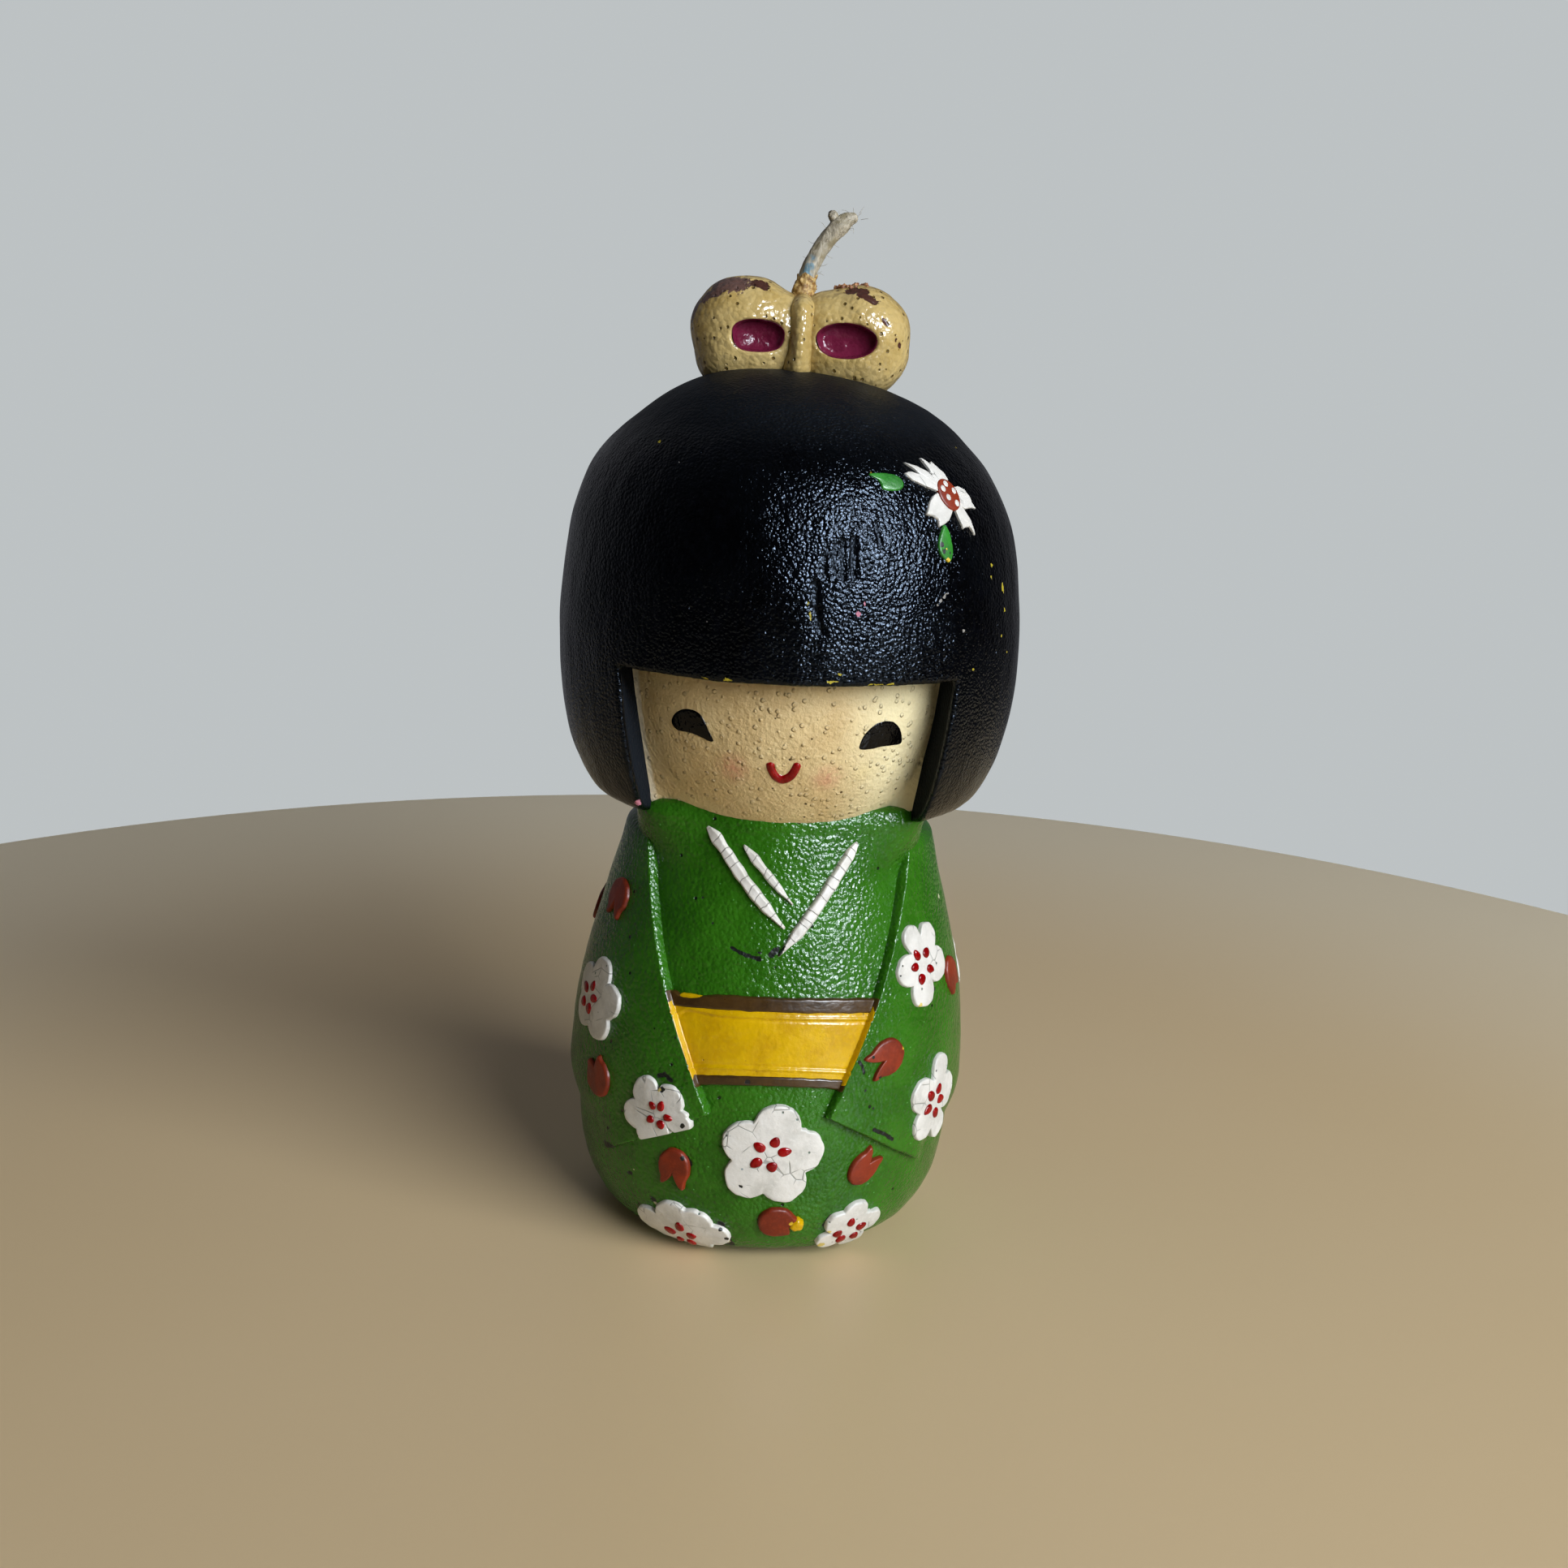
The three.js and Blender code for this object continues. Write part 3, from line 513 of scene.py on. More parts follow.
class Finish:
    """A node material whose textures are laid out in millimetres."""

    def __init__(self, name):
        self.material = bpy.data.materials.new(name)
        self.material.use_nodes = True
        self.nodes = self.material.node_tree.nodes
        self.links = self.material.node_tree.links
        self.shader = self.nodes["Principled BSDF"]
        self.place = self.nodes.new("ShaderNodeTexCoord").outputs["Object"]
        self.relief = None

    def put(self, socket, value):
        if isinstance(value, bpy.types.NodeSocket):
            self.links.new(value, socket)
        else:
            socket.default_value = value

    def node(self, kind, inputs, **settings):
        made = self.nodes.new(kind)
        for key, value in settings.items():
            setattr(made, key, value)
        for socket, value in inputs.items():
            self.put(made.inputs[socket], value)
        return made

    def spread(self, stretch, shift):
        scale = [1 / (MM * s) for s in stretch]
        inputs = {"Vector": self.place, "Scale": scale, "Location": (shift, shift * 2, shift * 3)}
        return self.node("ShaderNodeMapping", inputs).outputs[0]

    def noise(self, size, detail=2.0, stretch=(1, 1, 1), shift=0.0):
        inputs = {"Vector": self.spread(stretch, shift), "Scale": 1 / size, "Detail": detail}
        return self.node("ShaderNodeTexNoise", inputs).outputs[0]

    def cells(self, size, feature="F1", shift=0.0):
        inputs = {"Vector": self.spread((1, 1, 1), shift), "Scale": 1 / size}
        return self.node("ShaderNodeTexVoronoi", inputs, feature=feature)

    def between(self, value, low, high):
        inputs = {"Value": value, "From Min": low, "From Max": high}
        return self.node("ShaderNodeMapRange", inputs, interpolation_type="SMOOTHSTEP").outputs[0]

    def math(self, operation, a, b=0.0):
        return self.node("ShaderNodeMath", {0: a, 1: b}, operation=operation).outputs[0]

    def times(self, a, b):
        return self.math("MULTIPLY", a, b)

    def mix(self, factor, a, b):
        return self.node("ShaderNodeMix", {0: factor, 6: a, 7: b}, data_type="RGBA").outputs[2]

    def attribute(self, name):
        return self.node("ShaderNodeAttribute", {}, attribute_name=name).outputs["Fac"]

    def raise_by(self, value, height):
        """Adds a pattern to the relief, in millimetres for each unit of the value."""
        part = self.times(value, height)
        self.relief = part if self.relief is None else self.math("ADD", self.relief, part)

    def specks(self, size, radius, share, shift=0.0):
        """A mask of small round specks: one in a share of the cells of this size."""
        cells = self.cells(size, shift=shift)
        near = self.between(cells.outputs["Distance"], radius, radius * 0.55)
        pick = self.node("ShaderNodeSeparateColor", {0: cells.outputs["Color"]}).outputs[0]
        return self.times(near, self.math("LESS_THAN", pick, share))

    def layer_mask(self, name, shift=0.0, ragged=0.9):
        """Where marks of this name lie, with a ragged edge."""
        MARKS_READ.setdefault(self.material.name, []).append(name)
        rough = self.times(self.noise(0.45, 3, shift=shift), ragged)
        value = self.math("ADD", self.attribute(name), self.math("SUBTRACT", rough, ragged / 2))
        return self.between(value, 0.28, 0.36)

    def done(self, base, roughness):
        self.put(self.shader.inputs["Base Color"], base)
        self.put(self.shader.inputs["Roughness"], roughness)
        if self.relief is not None:
            inputs = {"Height": self.relief, "Distance": MM, "Strength": 1.0}
            self.put(self.shader.inputs["Normal"], self.node("ShaderNodeBump", inputs).outputs[0])
        return self.material


def painted(
    name,
    tones,
    gloss=(0.3, 0.45),
    blotch=7.0,
    peel=(0.42, 0.05),
    swell=0.45,
    dull=None,
    brush=None,
    pits=None,
    flecks=(),
    cracks=None,
    layers=(),
    shine=0.5,
    grain=None,
    tint=None,
):
    """Paint on wax. tones are the dark, the usual and the light tone; gloss is the roughness range.

    peel is the size and height of the orange peel, and swell the share of that height that its
    broader waves have. grain is the size and height of finer grains. dull names an attribute that
    makes the paint matter. brush is the stretch and height of brush marks, pits the cell, radius,
    share, depth and colour of pits, and flecks more specks as cell, radius, share and colour.
    cracks is the cell, the colour and how much noise starts a crack. layers are the marks as
    attribute, colour, roughness and depth. shine and tint are the specular level and tint."""
    f = Finish(name)
    f.shader.inputs["Specular IOR Level"].default_value = shine
    dark, usual, light = (colour(tone) for tone in tones)
    base = f.mix(f.between(f.noise(blotch, 3), 0.36, 0.62), dark, usual)
    mottled = f.between(f.noise(blotch * 0.12, 3, shift=4), 0.45, 0.75)
    base = f.mix(f.times(mottled, 0.4), base, light)
    smears = f.noise(blotch * 0.4, 2, shift=9)
    rough = f.math("ADD", gloss[0], f.times(smears, gloss[1] - gloss[0]))
    if dull:
        rough = f.math("ADD", rough, f.times(f.attribute(dull), 0.4))
    if tint:
        f.shader.inputs["Specular Tint"].default_value = (*tint, 1)
    if grain:
        size, height = grain
        f.raise_by(f.cells(size, shift=17).outputs["Distance"], -height)
    f.raise_by(f.noise(peel[0], 2, shift=2), peel[1])
    f.raise_by(f.noise(peel[0] * 3.5, 2, shift=7), peel[1] * swell)
    if brush:
        stretch, height = brush
        marks_of_brush = f.noise(0.3, 2, stretch=stretch, shift=3)
        f.raise_by(marks_of_brush, height)
        base = f.mix(f.times(f.between(marks_of_brush, 0.5, 0.75), 0.3), base, light)
    if pits:
        cell, radius, share, depth, tone = pits
        mask = f.specks(cell, radius, share)
        base = f.mix(mask, base, colour(tone))
        f.raise_by(mask, -depth)
    for number, (cell, radius, share, tone) in enumerate(flecks):
        base = f.mix(f.specks(cell, radius, share, shift=20 + 7 * number), base, colour(tone))
    if cracks:
        cell, tone, where = cracks
        width = f.cells(cell, feature="DISTANCE_TO_EDGE", shift=31).outputs["Distance"]
        line = f.between(width, 0.028, 0.008)
        line = f.times(line, f.between(f.noise(4.0, 1, shift=33), where, where + 0.08))
        base = f.mix(f.times(line, 0.75), base, colour(tone))
        f.raise_by(line, -0.06)
    for number, (attribute, tone, layer_rough, depth) in enumerate(layers):
        mask = f.layer_mask(attribute, shift=40 + number)
        base = f.mix(mask, base, colour(tone))
        rough = f.math("ADD", rough, f.times(mask, layer_rough - gloss[0]))
        f.raise_by(mask, -depth)
    return f.done(base, rough)


SCARS = (("bare", "4a3a36", 0.5, 0.0), ("chip", "0c120c", 0.4, 0.12), ("pale", "c9c7a9", 0.5, 0.03))
HAIR_MARKS = (
    ("gouge", "050608", 0.3, 0.45),
    ("chip", "b3a42c", 0.45, 0.02),
    ("pale", "8f8b84", 0.45, 0.04),
    ("pink", "c77f92", 0.5, -0.04),
)
GREEN = painted(
    "green_paint",
    ("275f0c", "306c12", "3a7a1c"),
    gloss=(0.14, 0.24),
    peel=(0.36, 0.1),
    swell=0.3,
    grain=(0.6, 0.13),
    shine=0.31,
    brush=((1, 1, 2.6), 0.02),
    pits=(2.1, 0.14, 0.14, 0.14, "0b1f08"),
    flecks=[(0.9, 0.14, 0.12, "5aa050"), (3.9, 0.07, 0.3, "060d05")],
    layers=SCARS,
)
BLACK = painted(
    "black_paint",
    ("020203", "040507", "090b11"),
    gloss=(0.1, 0.17),
    blotch=9.0,
    peel=(0.27, 0.07),
    swell=0.3,
    grain=(0.44, 0.1),
    shine=0.24,
    tint=(0.66, 0.8, 1.0),
    brush=((1.6, 1.6, 7.0), 0.07),
    dull="dull",
    pits=(2.3, 0.13, 0.25, 0.1, "020203"),
    flecks=[(5.5, 0.035, 0.25, "8d7a2a")],
    layers=HAIR_MARKS,
)
WHITE = painted(
    "white_paint",
    ("cdccc6", "e3e2dd", "efeeea"),
    gloss=(0.42, 0.55),
    blotch=4.0,
    peel=(0.5, 0.05),
    pits=(1.7, 0.13, 0.3, 0.1, "6d7f74"),
    flecks=[(2.1, 0.1, 0.35, "8ea0a4"), (3.0, 0.07, 0.4, "1d241c")],
    cracks=(2.6, "8a8c86", 0.5),
    layers=[("chip", "10150f", 0.4, 0.15), ("yellow", "d8c56a", 0.5, 0.0)],
)
RED_BROWN = painted(
    "red_brown_paint",
    ("6e230d", "882d10", "9a3b1a"),
    gloss=(0.36, 0.5),
    shine=0.32,
    blotch=3.0,
    peel=(0.45, 0.03),
    flecks=[(1.6, 0.07, 0.2, "5c2413")],
    layers=[("chip", "12160d", 0.45, 0.1), ("yellow", "d9b32a", 0.45, 0.05)],
)
YELLOW = painted(
    "yellow_paint",
    ("c79b00", "d8ae00", "e6be08"),
    gloss=(0.2, 0.34),
    shine=0.36,
    blotch=5.0,
    peel=(0.8, 0.09),
    brush=((1, 1, 3.0), 0.015),
    pits=(2.2, 0.09, 0.3, 0.1, "5d4a0c"),
    flecks=[(1.3, 0.1, 0.12, "b98806")],
    layers=[("chip", "2c260d", 0.4, 0.08)],
)
BROWN = painted(
    "brown_paint",
    ("38260e", "463011", "58401a"),
    gloss=(0.24, 0.36),
    blotch=3.0,
    peel=(0.6, 0.03),
    brush=((3.0, 3.0, 1), 0.02),
    flecks=[(2.0, 0.07, 0.15, "8a6a1c")],
    layers=[("chip", "0e0d08", 0.4, 0.05), ("yellow", "d9a50a", 0.3, 0.0)],
)
CREAM = painted(
    "cream_paint",
    ("b99e5e", "cdb476", "dac58d"),
    gloss=(0.14, 0.24),
    blotch=6.0,
    peel=(0.6, 0.09),
    shine=0.42,
    pits=(0.95, 0.28, 0.42, 0.34, "7a6230"),
    grain=(0.8, 0.14),
    flecks=[(3.2, 0.07, 0.3, "1b160e"), (1.5, 0.1, 0.15, "8a6d33")],
    layers=[("chip", "4f2e24", 0.34, 0.14), ("bare", "6b5048", 0.25, 0.05)],
)
PLUM = painted(
    "plum_paint",
    ("611630", "701f3c", "82304c"),
    gloss=(0.16, 0.26),
    blotch=3.0,
    peel=(0.7, 0.14),
    swell=0.6,
    shine=0.24,
)
RED = painted(
    "red_paint",
    ("780205", "960407", "ad0a0e"),
    gloss=(0.12, 0.22),
    blotch=2.0,
    peel=(0.5, 0.1),
    shine=0.3,
)
INK = painted(
    "eye_paint",
    ("030303", "060505", "0c0a0a"),
    gloss=(0.1, 0.16),
    blotch=2.0,
    peel=(0.7, 0.16),
    swell=0.2,
    shine=0.2,
)
LEAF = painted(
    "leaf_paint",
    ("23701f", "2f8a28", "43a03a"),
    gloss=(0.28, 0.4),
    blotch=2.0,
    peel=(0.4, 0.03),
    layers=[("chip", "0d0f0a", 0.4, 0.05), ("yellow", "dfb92a", 0.45, 0.0)],
)


def skin_paint():
    """The face: bumpy matt cream with dark pits, two soft pink cheeks, and painted light towards its right,
    where the hair's wall casts shade.
    """
    f = Finish("face_paint")
    f.shader.inputs["Specular IOR Level"].default_value = 0.3
    base = f.mix(f.between(f.noise(8, 3), 0.35, 0.65), colour("d2b681"), colour("e0c894"))
    paler = f.between(f.noise(0.6, 2, shift=5), 0.55, 0.75)
    base = f.mix(f.times(paler, 0.4), base, colour("ecd6a2"))
    dotted = f.between(f.noise(0.7, 3, shift=8), 0.2, 0.6)
    dotted = f.times(f.between(f.attribute("cheek"), 0.0, 1.0), dotted)
    base = f.mix(f.times(dotted, 0.5), base, colour("cf7566"))
    base = f.mix(f.times(f.between(f.attribute("tinge"), 0.0, 1.0), 0.3), base, colour("d2b43c"))
    # Painted light: paler paint on the face's right, where the hair's wall shades it from the window.
    base = f.mix(f.times(f.attribute("light"), 0.75), base, colour("f7efc4"))
    base = f.mix(f.times(f.attribute("lip"), 0.75), base, colour("e6dcc2"))
    lumps = f.specks(0.95, 0.36, 0.5, shift=3)
    f.raise_by(lumps, 0.26)
    f.raise_by(f.noise(0.5, 3, shift=2), 0.22)
    pits = f.specks(2.2, 0.1, 0.3, shift=6)
    f.raise_by(pits, -0.2)
    base = f.mix(pits, base, colour("5d451d"))
    dark = f.specks(4.6, 0.055, 0.35, shift=12)
    base = f.mix(dark, base, colour("1d150b"))
    base = f.mix(f.layer_mask("chip"), base, colour("20180d"))
    return f.done(base, f.math("ADD", 0.5, f.times(f.noise(2.0), 0.1)))


def cotton():
    """The waxed wick: grey-beige strands, blue where dye has run in near its foot, and dark at the stub."""
    f = Finish("wick_cotton")
    strands = f.noise(0.28, 3, stretch=(1, 1, 4))
    base = f.mix(f.between(strands, 0.35, 0.7), colour("9a917b"), colour("c6bda8"))
    base = f.mix(f.between(f.noise(1.4, 3, shift=3), 0.5, 0.7), base, colour("958a6c"))
    blue = f.between(f.noise(0.9, 2, shift=6), 0.3, 0.55)
    blue = f.times(f.between(f.attribute("blue"), 0.0, 0.7), blue)
    base = f.mix(f.times(blue, 0.8), base, colour("5f97b4"))
    base = f.mix(f.between(f.attribute("burnt"), 0.1, 0.9), base, colour("4d453b"))
    base = f.mix(f.specks(1.2, 0.1, 0.3, shift=5), base, colour("3a3222"))
    f.raise_by(strands, 0.09)
    f.raise_by(f.noise(0.7, 3, shift=4), 0.07)
    return f.done(base, 0.62)


def crumbly(name, low, high):
    """Rough old wax."""
    f = Finish(name)
    base = f.mix(f.between(f.noise(0.5, 4), 0.35, 0.65), colour(low), colour(high))
    base = f.mix(f.specks(0.8, 0.25, 0.3, shift=4), base, colour("4d3312"))
    f.raise_by(f.noise(0.3, 4, shift=2), 0.15)
    return f.done(base, 0.6)


FACE = skin_paint()
COTTON = cotton()
CRUST = crumbly("crust_wax", "8a6226", "d1b06a")
CRUMBS = crumbly("crumb_wax", "8a5230", "c08a58")


# ================================================================ the casting
# Worn marks: each is a line of angles and heights, and its width.
KIMONO_MARKS = {
    "chip": [
        ([(-14.1, 42.9), (-9.5, 42.2), (-4.8, 41.8)], 0.75),
        ([(-4.9, 42.6)], 0.7),
        ([(-26.6, 48.3)], 0.6),
        ([(-21.3, 45.5)], 0.6),
        ([(27.6, 47.9)], 0.5),
        ([(33.5, 46.3)], 0.4),
        ([(-44.1, 10.3), (-42.6, 10.5)], 0.8),
        ([(-23.0, 15.4), (-22.0, 14.6)], 1.2),
        ([(-34.9, 7.7)], 1.3),
        ([(-13.0, 6.3), (-11.5, 4.2), (-10.6, 2.4)], 1.6),
        ([(20.5, 7.4), (19.0, 6.0)], 0.9),
        ([(-1.2, 42.4), (0.5, 43.1)], 1.1),
    ],
    "pale": [
        ([(-34.2, 7.2)], 0.9),
        ([(-12.2, 4.9), (-11.2, 3.0)], 1.0),
        ([(-41.5, 11.2)], 0.6),
    ],
}
SLEEVE_MARKS = {
    "left": {
        "chip": [
            ([(-31.0, 26.0), (-29.0, 26.4), (-27.0, 25.8)], 0.85),
            ([(-56.5, 13.9), (-52.0, 13.6), (-47.0, 13.9)], 1.5),
            ([(-51.7, 17.5)], 0.5),
            ([(-21.2, 21.0)], 0.8),
            ([(-27.0, 31.2)], 0.5),
        ],
    },
    "right": {
        "chip": [
            ([(24.6, 29.2), (25.6, 28.6), (26.2, 27.7)], 0.6),
            ([(30.0, 19.9), (33.5, 19.0), (36.8, 17.9)], 0.75),
            ([(26.7, 25.4)], 0.5),
            ([(29.4, 22.8)], 0.5),
            ([(56.0, 14.6), (52.5, 13.6)], 0.6),
        ],
        "pale": [([(73, 46.0)], 1.0)],
    },
}


def worn(points, table, surface, lift=0.0):
    """The marks in a table, for points on a surface."""
    values = {}
    for key, strokes in table.items():
        lines = []
        for line, width in strokes:
            spots = [surface.at_height(upright(angle, z, FLAT_RADIUS), z, lift) for angle, z in line]
            lines.append((spots, width))
        values[key] = marks(points, lines)
    return values


# The shoulders stand out at the corners of the face, where they meet the hair.
SHOULDER = dict(angle=53, spread=17, reach=3.4)


def make_kimono():
    columns, rows = grid_size(400, 210)
    along = np.linspace(0, kimono.s[-1], rows)[:, None]
    angle = np.linspace(0, 360, columns, endpoint=False)[None, :]
    rings = kimono.at(angle, along)
    # The neck swells a little where the paint has run into the corner under the head.
    lift = layered(rings, (0.11, 6.0, 1), (0.05, 1.7, 2))
    lift += 0.4 * ease(rings[..., 2], 56.6, 58.4)
    lift *= ease(along, 0, 1.5)
    rings = kimono.at(angle, along, lift)
    off_corner = (np.abs(180 - angle) - (180 - SHOULDER["angle"])) / SHOULDER["spread"]
    z = rings[..., 2]
    ledge = SHOULDER["reach"] * np.exp(-(off_corner**2)) * ease(z, 50.5, 58.6) * ease(z, 60.6, 59.6)
    rings[..., :2] *= 1 + (ledge / np.hypot(rings[..., 0], rings[..., 1]))[..., None]
    # The base is flat, with a shallow dish where the wax was poured in.
    rim = rings[0]
    shares = np.array([0.0, 0.1, 0.3, 0.5, 0.7, 0.85, 0.97])[:, None, None]
    base = shares * rim
    base[..., 2] = 0.5 * ease(shares[..., 0], 0.5, 0.1)
    base = base[1:]
    points, faces = wrapped(np.concatenate([base, rings]))
    bare = np.full(len(points), -0.5)
    bare[: base.shape[0] * columns] = 1.0
    bare[-2] = 1.0
    values = {"bare": bare, **worn(points, KIMONO_MARKS, kimono)}
    add_piece("kimono", (points, faces), GREEN, ["kimono_body"], values)


# Round spots on the face: each is its place across and up, and its width.
FACE_SPOTS = {
    "cheek": [((-6.1, 66.0), 6.2), ((5.3, 65.2), 5.6)],
    "tinge": [((9.9, 65.9), 4.2)],
    "chip": [
        ((-6.9, 71.2), 0.55),
        ((-4.9, 70.6), 0.4),
        ((-4.4, 69.4), 0.4),
        ((6.2, 63.6), 0.5),
        ((9.9, 66.0), 0.4),
        ((7.5, 67.6), 0.35),
        ((-1.2, 63.6), 0.45),
        ((0.8, 63.4), 0.35),
    ],
}


def make_head():
    columns, rows = grid_size(460, 230)
    tip = 0.02  # the angle left out round each pole
    phi = np.linspace(tip, math.pi - tip, rows)[:, None]
    theta = np.radians(np.linspace(0, 360, columns, endpoint=False))[None, :]
    z = HEAD_CENTRE[2] - HEAD_RADII[2] * np.cos(phi)
    ball = np.sin(phi) / np.hypot(np.sin(theta) / HEAD_RADII[0], np.cos(theta) / HEAD_RADII[1])
    share = (z - PANEL["low_z"]) / (PANEL["top_z"] - PANEL["low_z"])
    front = -(PANEL["low_y"] + share * (PANEL["top_y"] - PANEL["low_y"]))
    half = OPENING["low_half"] + (OPENING["top_half"] - OPENING["low_half"]) * share
    # The panel goes into the hair's walls, and least at its foot.
    half = half + 1.0 + 1.4 * ease(z, 59.2, 60.6)
    ahead = np.maximum(np.cos(theta), 1e-3)
    aside = np.maximum(np.abs(np.sin(theta)), 1e-3)
    flat = np.minimum(front / ahead, half / aside)
    # The panel curls forward at its sides, where its paint meets the hair.
    lip = 0.7 * ease(flat * aside, half - 2.4, half - 1.0)
    flat = flat + lip * (front / ahead < half / aside)
    there = (np.cos(theta) > 0.2) & (z > PANEL["low_z"] - 0.8) & (z < PANEL["top_z"] + 1)
    # On the left the paint fills the corner between the ball and the panel.
    fill = 0.3 + 4.0 * ease(np.sin(theta), -0.05, -0.4)
    radius = np.where(there & (flat > ball - fill), soft_max(flat, ball, fill), ball)
    rings = stacked(radius * np.sin(theta), -radius * np.cos(theta), z)
    normal = unit((rings - HEAD_CENTRE) / HEAD_RADII**2)
    lumps = layered(rings, (0.06, 2.2, 4), (0.05, 0.9, 5))
    points, faces = wrapped(rings + normal * lumps[..., None])
    values = {}
    for key, spots in FACE_SPOTS.items():
        values[key] = marks(points, [([on_face(*place)], width) for place, width in spots])
    x, y, z = points.T
    values["lip"] = ease(opening_half(y, z) + x, 0.8, 0.55) * (y < -8)
    # Where painted light makes the face paler: its right, which the hair's wall shades.
    values["light"] = ease(x, 4.5, 13.5) * (y < -8)
    add_piece("head_with_face", (points, faces), FACE, ["head"], values)


def opening_share(y):
    """How far forward in the opening that frames the face: 0 at its back and 1 at its front."""
    return (OPENING["back_y"] - y) / (OPENING["back_y"] - OPENING["front_y"])


def opening_half(y, z):
    """Half the opening's width."""
    rise = (z - OPENING["low_z"]) / (OPENING["back_z"] - OPENING["low_z"])
    half = OPENING["low_half"] + (OPENING["top_half"] - OPENING["low_half"]) * rise
    return half + OPENING["flare"] * opening_share(y)


def opening_field(points):
    """Outside (positive) and inside (negative) of the opening."""
    x, y, z = points.T
    top = OPENING["back_z"] + (OPENING["fringe_z"] - OPENING["back_z"]) * opening_share(y)
    walls = soft_max(np.abs(x) - opening_half(y, z), z - top, 0.4)
    return soft_max(walls, y - OPENING["back_y"], 0.4)


def hair_field(points):
    """The hair's cap with the face's opening cut out of it."""
    return soft_max(hair.field(points), -opening_field(points), 0.55)


# The hair's worn marks, laid out like the kimono's.
HAIR_STROKES = {
    "gouge": [
        ([(13.8, 94.4), (13.6, 92.0), (13.9, 90.0)], 0.95),
        ([(19.5, 96.2), (20.3, 94.4), (20.8, 93.4)], 0.65),
        ([(5.0, 89.4), (5.4, 86.5), (6.6, 83.8)], 0.9),
        ([(7.4, 93.6), (7.2, 90.2)], 0.6),
        ([(9.6, 94.0), (9.5, 90.6)], 0.65),
        ([(11.4, 94.2), (11.3, 90.0)], 0.65),
    ],
    "chip": [
        ([(3.8, 87.2), (4.3, 85.3)], 0.45),
        ([(55.8, 91.3)], 0.85),
        ([(55.1, 89.9)], 0.75),
        ([(60.8, 88.9), (61.0, 88.0)], 0.8),
        ([(61.9, 85.8)], 0.95),
        ([(59.9, 82.7)], 0.7),
        ([(47.5, 79.0)], 0.7),
        ([(64.1, 80.5)], 0.7),
        ([(-42.5, 104.3)], 0.8),
        ([(11.1, 79.0), (12.0, 78.9)], 0.5),
        ([(8.9, 78.1), (11.4, 78.0)], 0.55),
        ([(17.5, 77.9), (21.0, 77.7), (24.5, 77.9)], 0.45),
        ([(-18.8, 77.9), (-17.2, 77.8)], 0.5),
        ([(-14.2, 77.9), (-11.8, 77.9)], 0.6),
    ],
    "pale": [
        ([(38.2, 88.4), (35.0, 87.0)], 0.5),
        ([(43.3, 83.8)], 0.8),
        ([(40.2, 67.9), (39.7, 66.5)], 0.75),
        ([(40.8, 62.0), (40.8, 60.6)], 0.6),
        ([(-32.3, 102.1)], 0.45),
        ([(-37.5, 103.2)], 0.4),
        ([(-18.5, 84.1), (-17.8, 84.5)], 0.35),
        ([(-32.2, 79.5)], 0.35),
    ],
    "pink": [([(15.1, 86.0)], 1.0), ([(16.4, 87.2)], 0.8), ([(-43.8, 60.0), (-42.6, 59.4)], 1.9)],
}


def make_hair():
    low, high = (np.array(corner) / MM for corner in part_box("hair_cap"))
    points, faces = skin(hair_field, low - 1.3, high + 1.3, 0.44)
    normal = outward(hair_field, points)
    # Broad hand-made unevenness, and finer brush waves that run down the hair.
    lumps = 0.14 * fuzz(points, 9.0, 11) + 0.07 * fuzz(points * (1, 1, 0.35), 1.9, 12)
    # It is smoother at the very top, under the bow.
    lumps = lumps * (0.3 + 0.7 * ease(points[:, 2], high[2] - 1.0, high[2] - 4.0))
    # The crown is a little higher on the left, under the bow.
    x, z = points[:, 0], points[:, 2]
    lumps = lumps + 0.9 * np.exp(-(((x + 10) / 7.5) ** 2)) * ease(z, 106, 111)
    values = worn(points, HAIR_STROKES, hair)
    # The paint is dull on the crown, and more so on the walls of the opening.
    values["dull"] = np.maximum(ease(z, 102, 109), 2.1 * ease(hair.field(points), -0.3, -1.2))
    lumps -= 0.5 * ease(values["gouge"], 0, 0.8)
    moved = points + normal * lumps[:, None]
    add_piece("hair", (moved, faces), BLACK, ["hair_cap"], values)


# ================================================================ the bow
BOW_MIDDLE = np.array([0, 0, 118.9])
BOW_TURN = np.array(Matrix.Rotation(math.radians(1.2), 3, "Y"))
# Each recess: its middle, its half size, how square its ends are, and how deep its floor is.
RECESSES = {
    -1: dict(x=5.35, z=-1.25, half_width=3.25, half_height=1.95, square=2.6, floor=-4.3),
    1: dict(x=5.75, z=-1.2, half_width=3.8, half_height=2.15, square=2.15, floor=-4.3),
}


def to_bow(points):
    """Points in the bow's own frame, whose middle is the knot's."""
    return (points - BOW_MIDDLE) @ BOW_TURN


def from_bow(points):
    """Points of the bow's own frame, back in the doll's."""
    return np.asarray(points) @ BOW_TURN.T + BOW_MIDDLE


def lobe_field(points, side):
    """One lobe, mirrored to the side of +X, in the bow's frame, before its recess is cut."""
    if side < 0:
        bulb = ball_field(points, (7.9, 0, -0.1), (6.3, 6.05, 6.3))
    else:
        bulb = ball_field(points, (7.4, 0, -0.15), (6.7, 6.05, 6.25))
    neck = ball_field(points, (2.4, 0, -0.1), (3.6, 5.5, 4.7))
    if side < 0:
        neck = soft_min(neck, ball_field(points, (5.0, 0, 0.5), (3.4, 5.3, 5.2)), 0.8)
    foot = ball_field(points, (5.6, 0, -3.5), (6.2, 5.4, 4.2))
    heel = ball_field(points, (9.6, 0, -3.7), (3.4, 4.6, 3.3) if side < 0 else (3.9, 4.7, 3.6))
    body = soft_min(soft_min(bulb, neck, 2.4), soft_min(foot, heel, 2.0), 1.6)
    return soft_max(body, 0.1 - points[:, 0], 0.3)


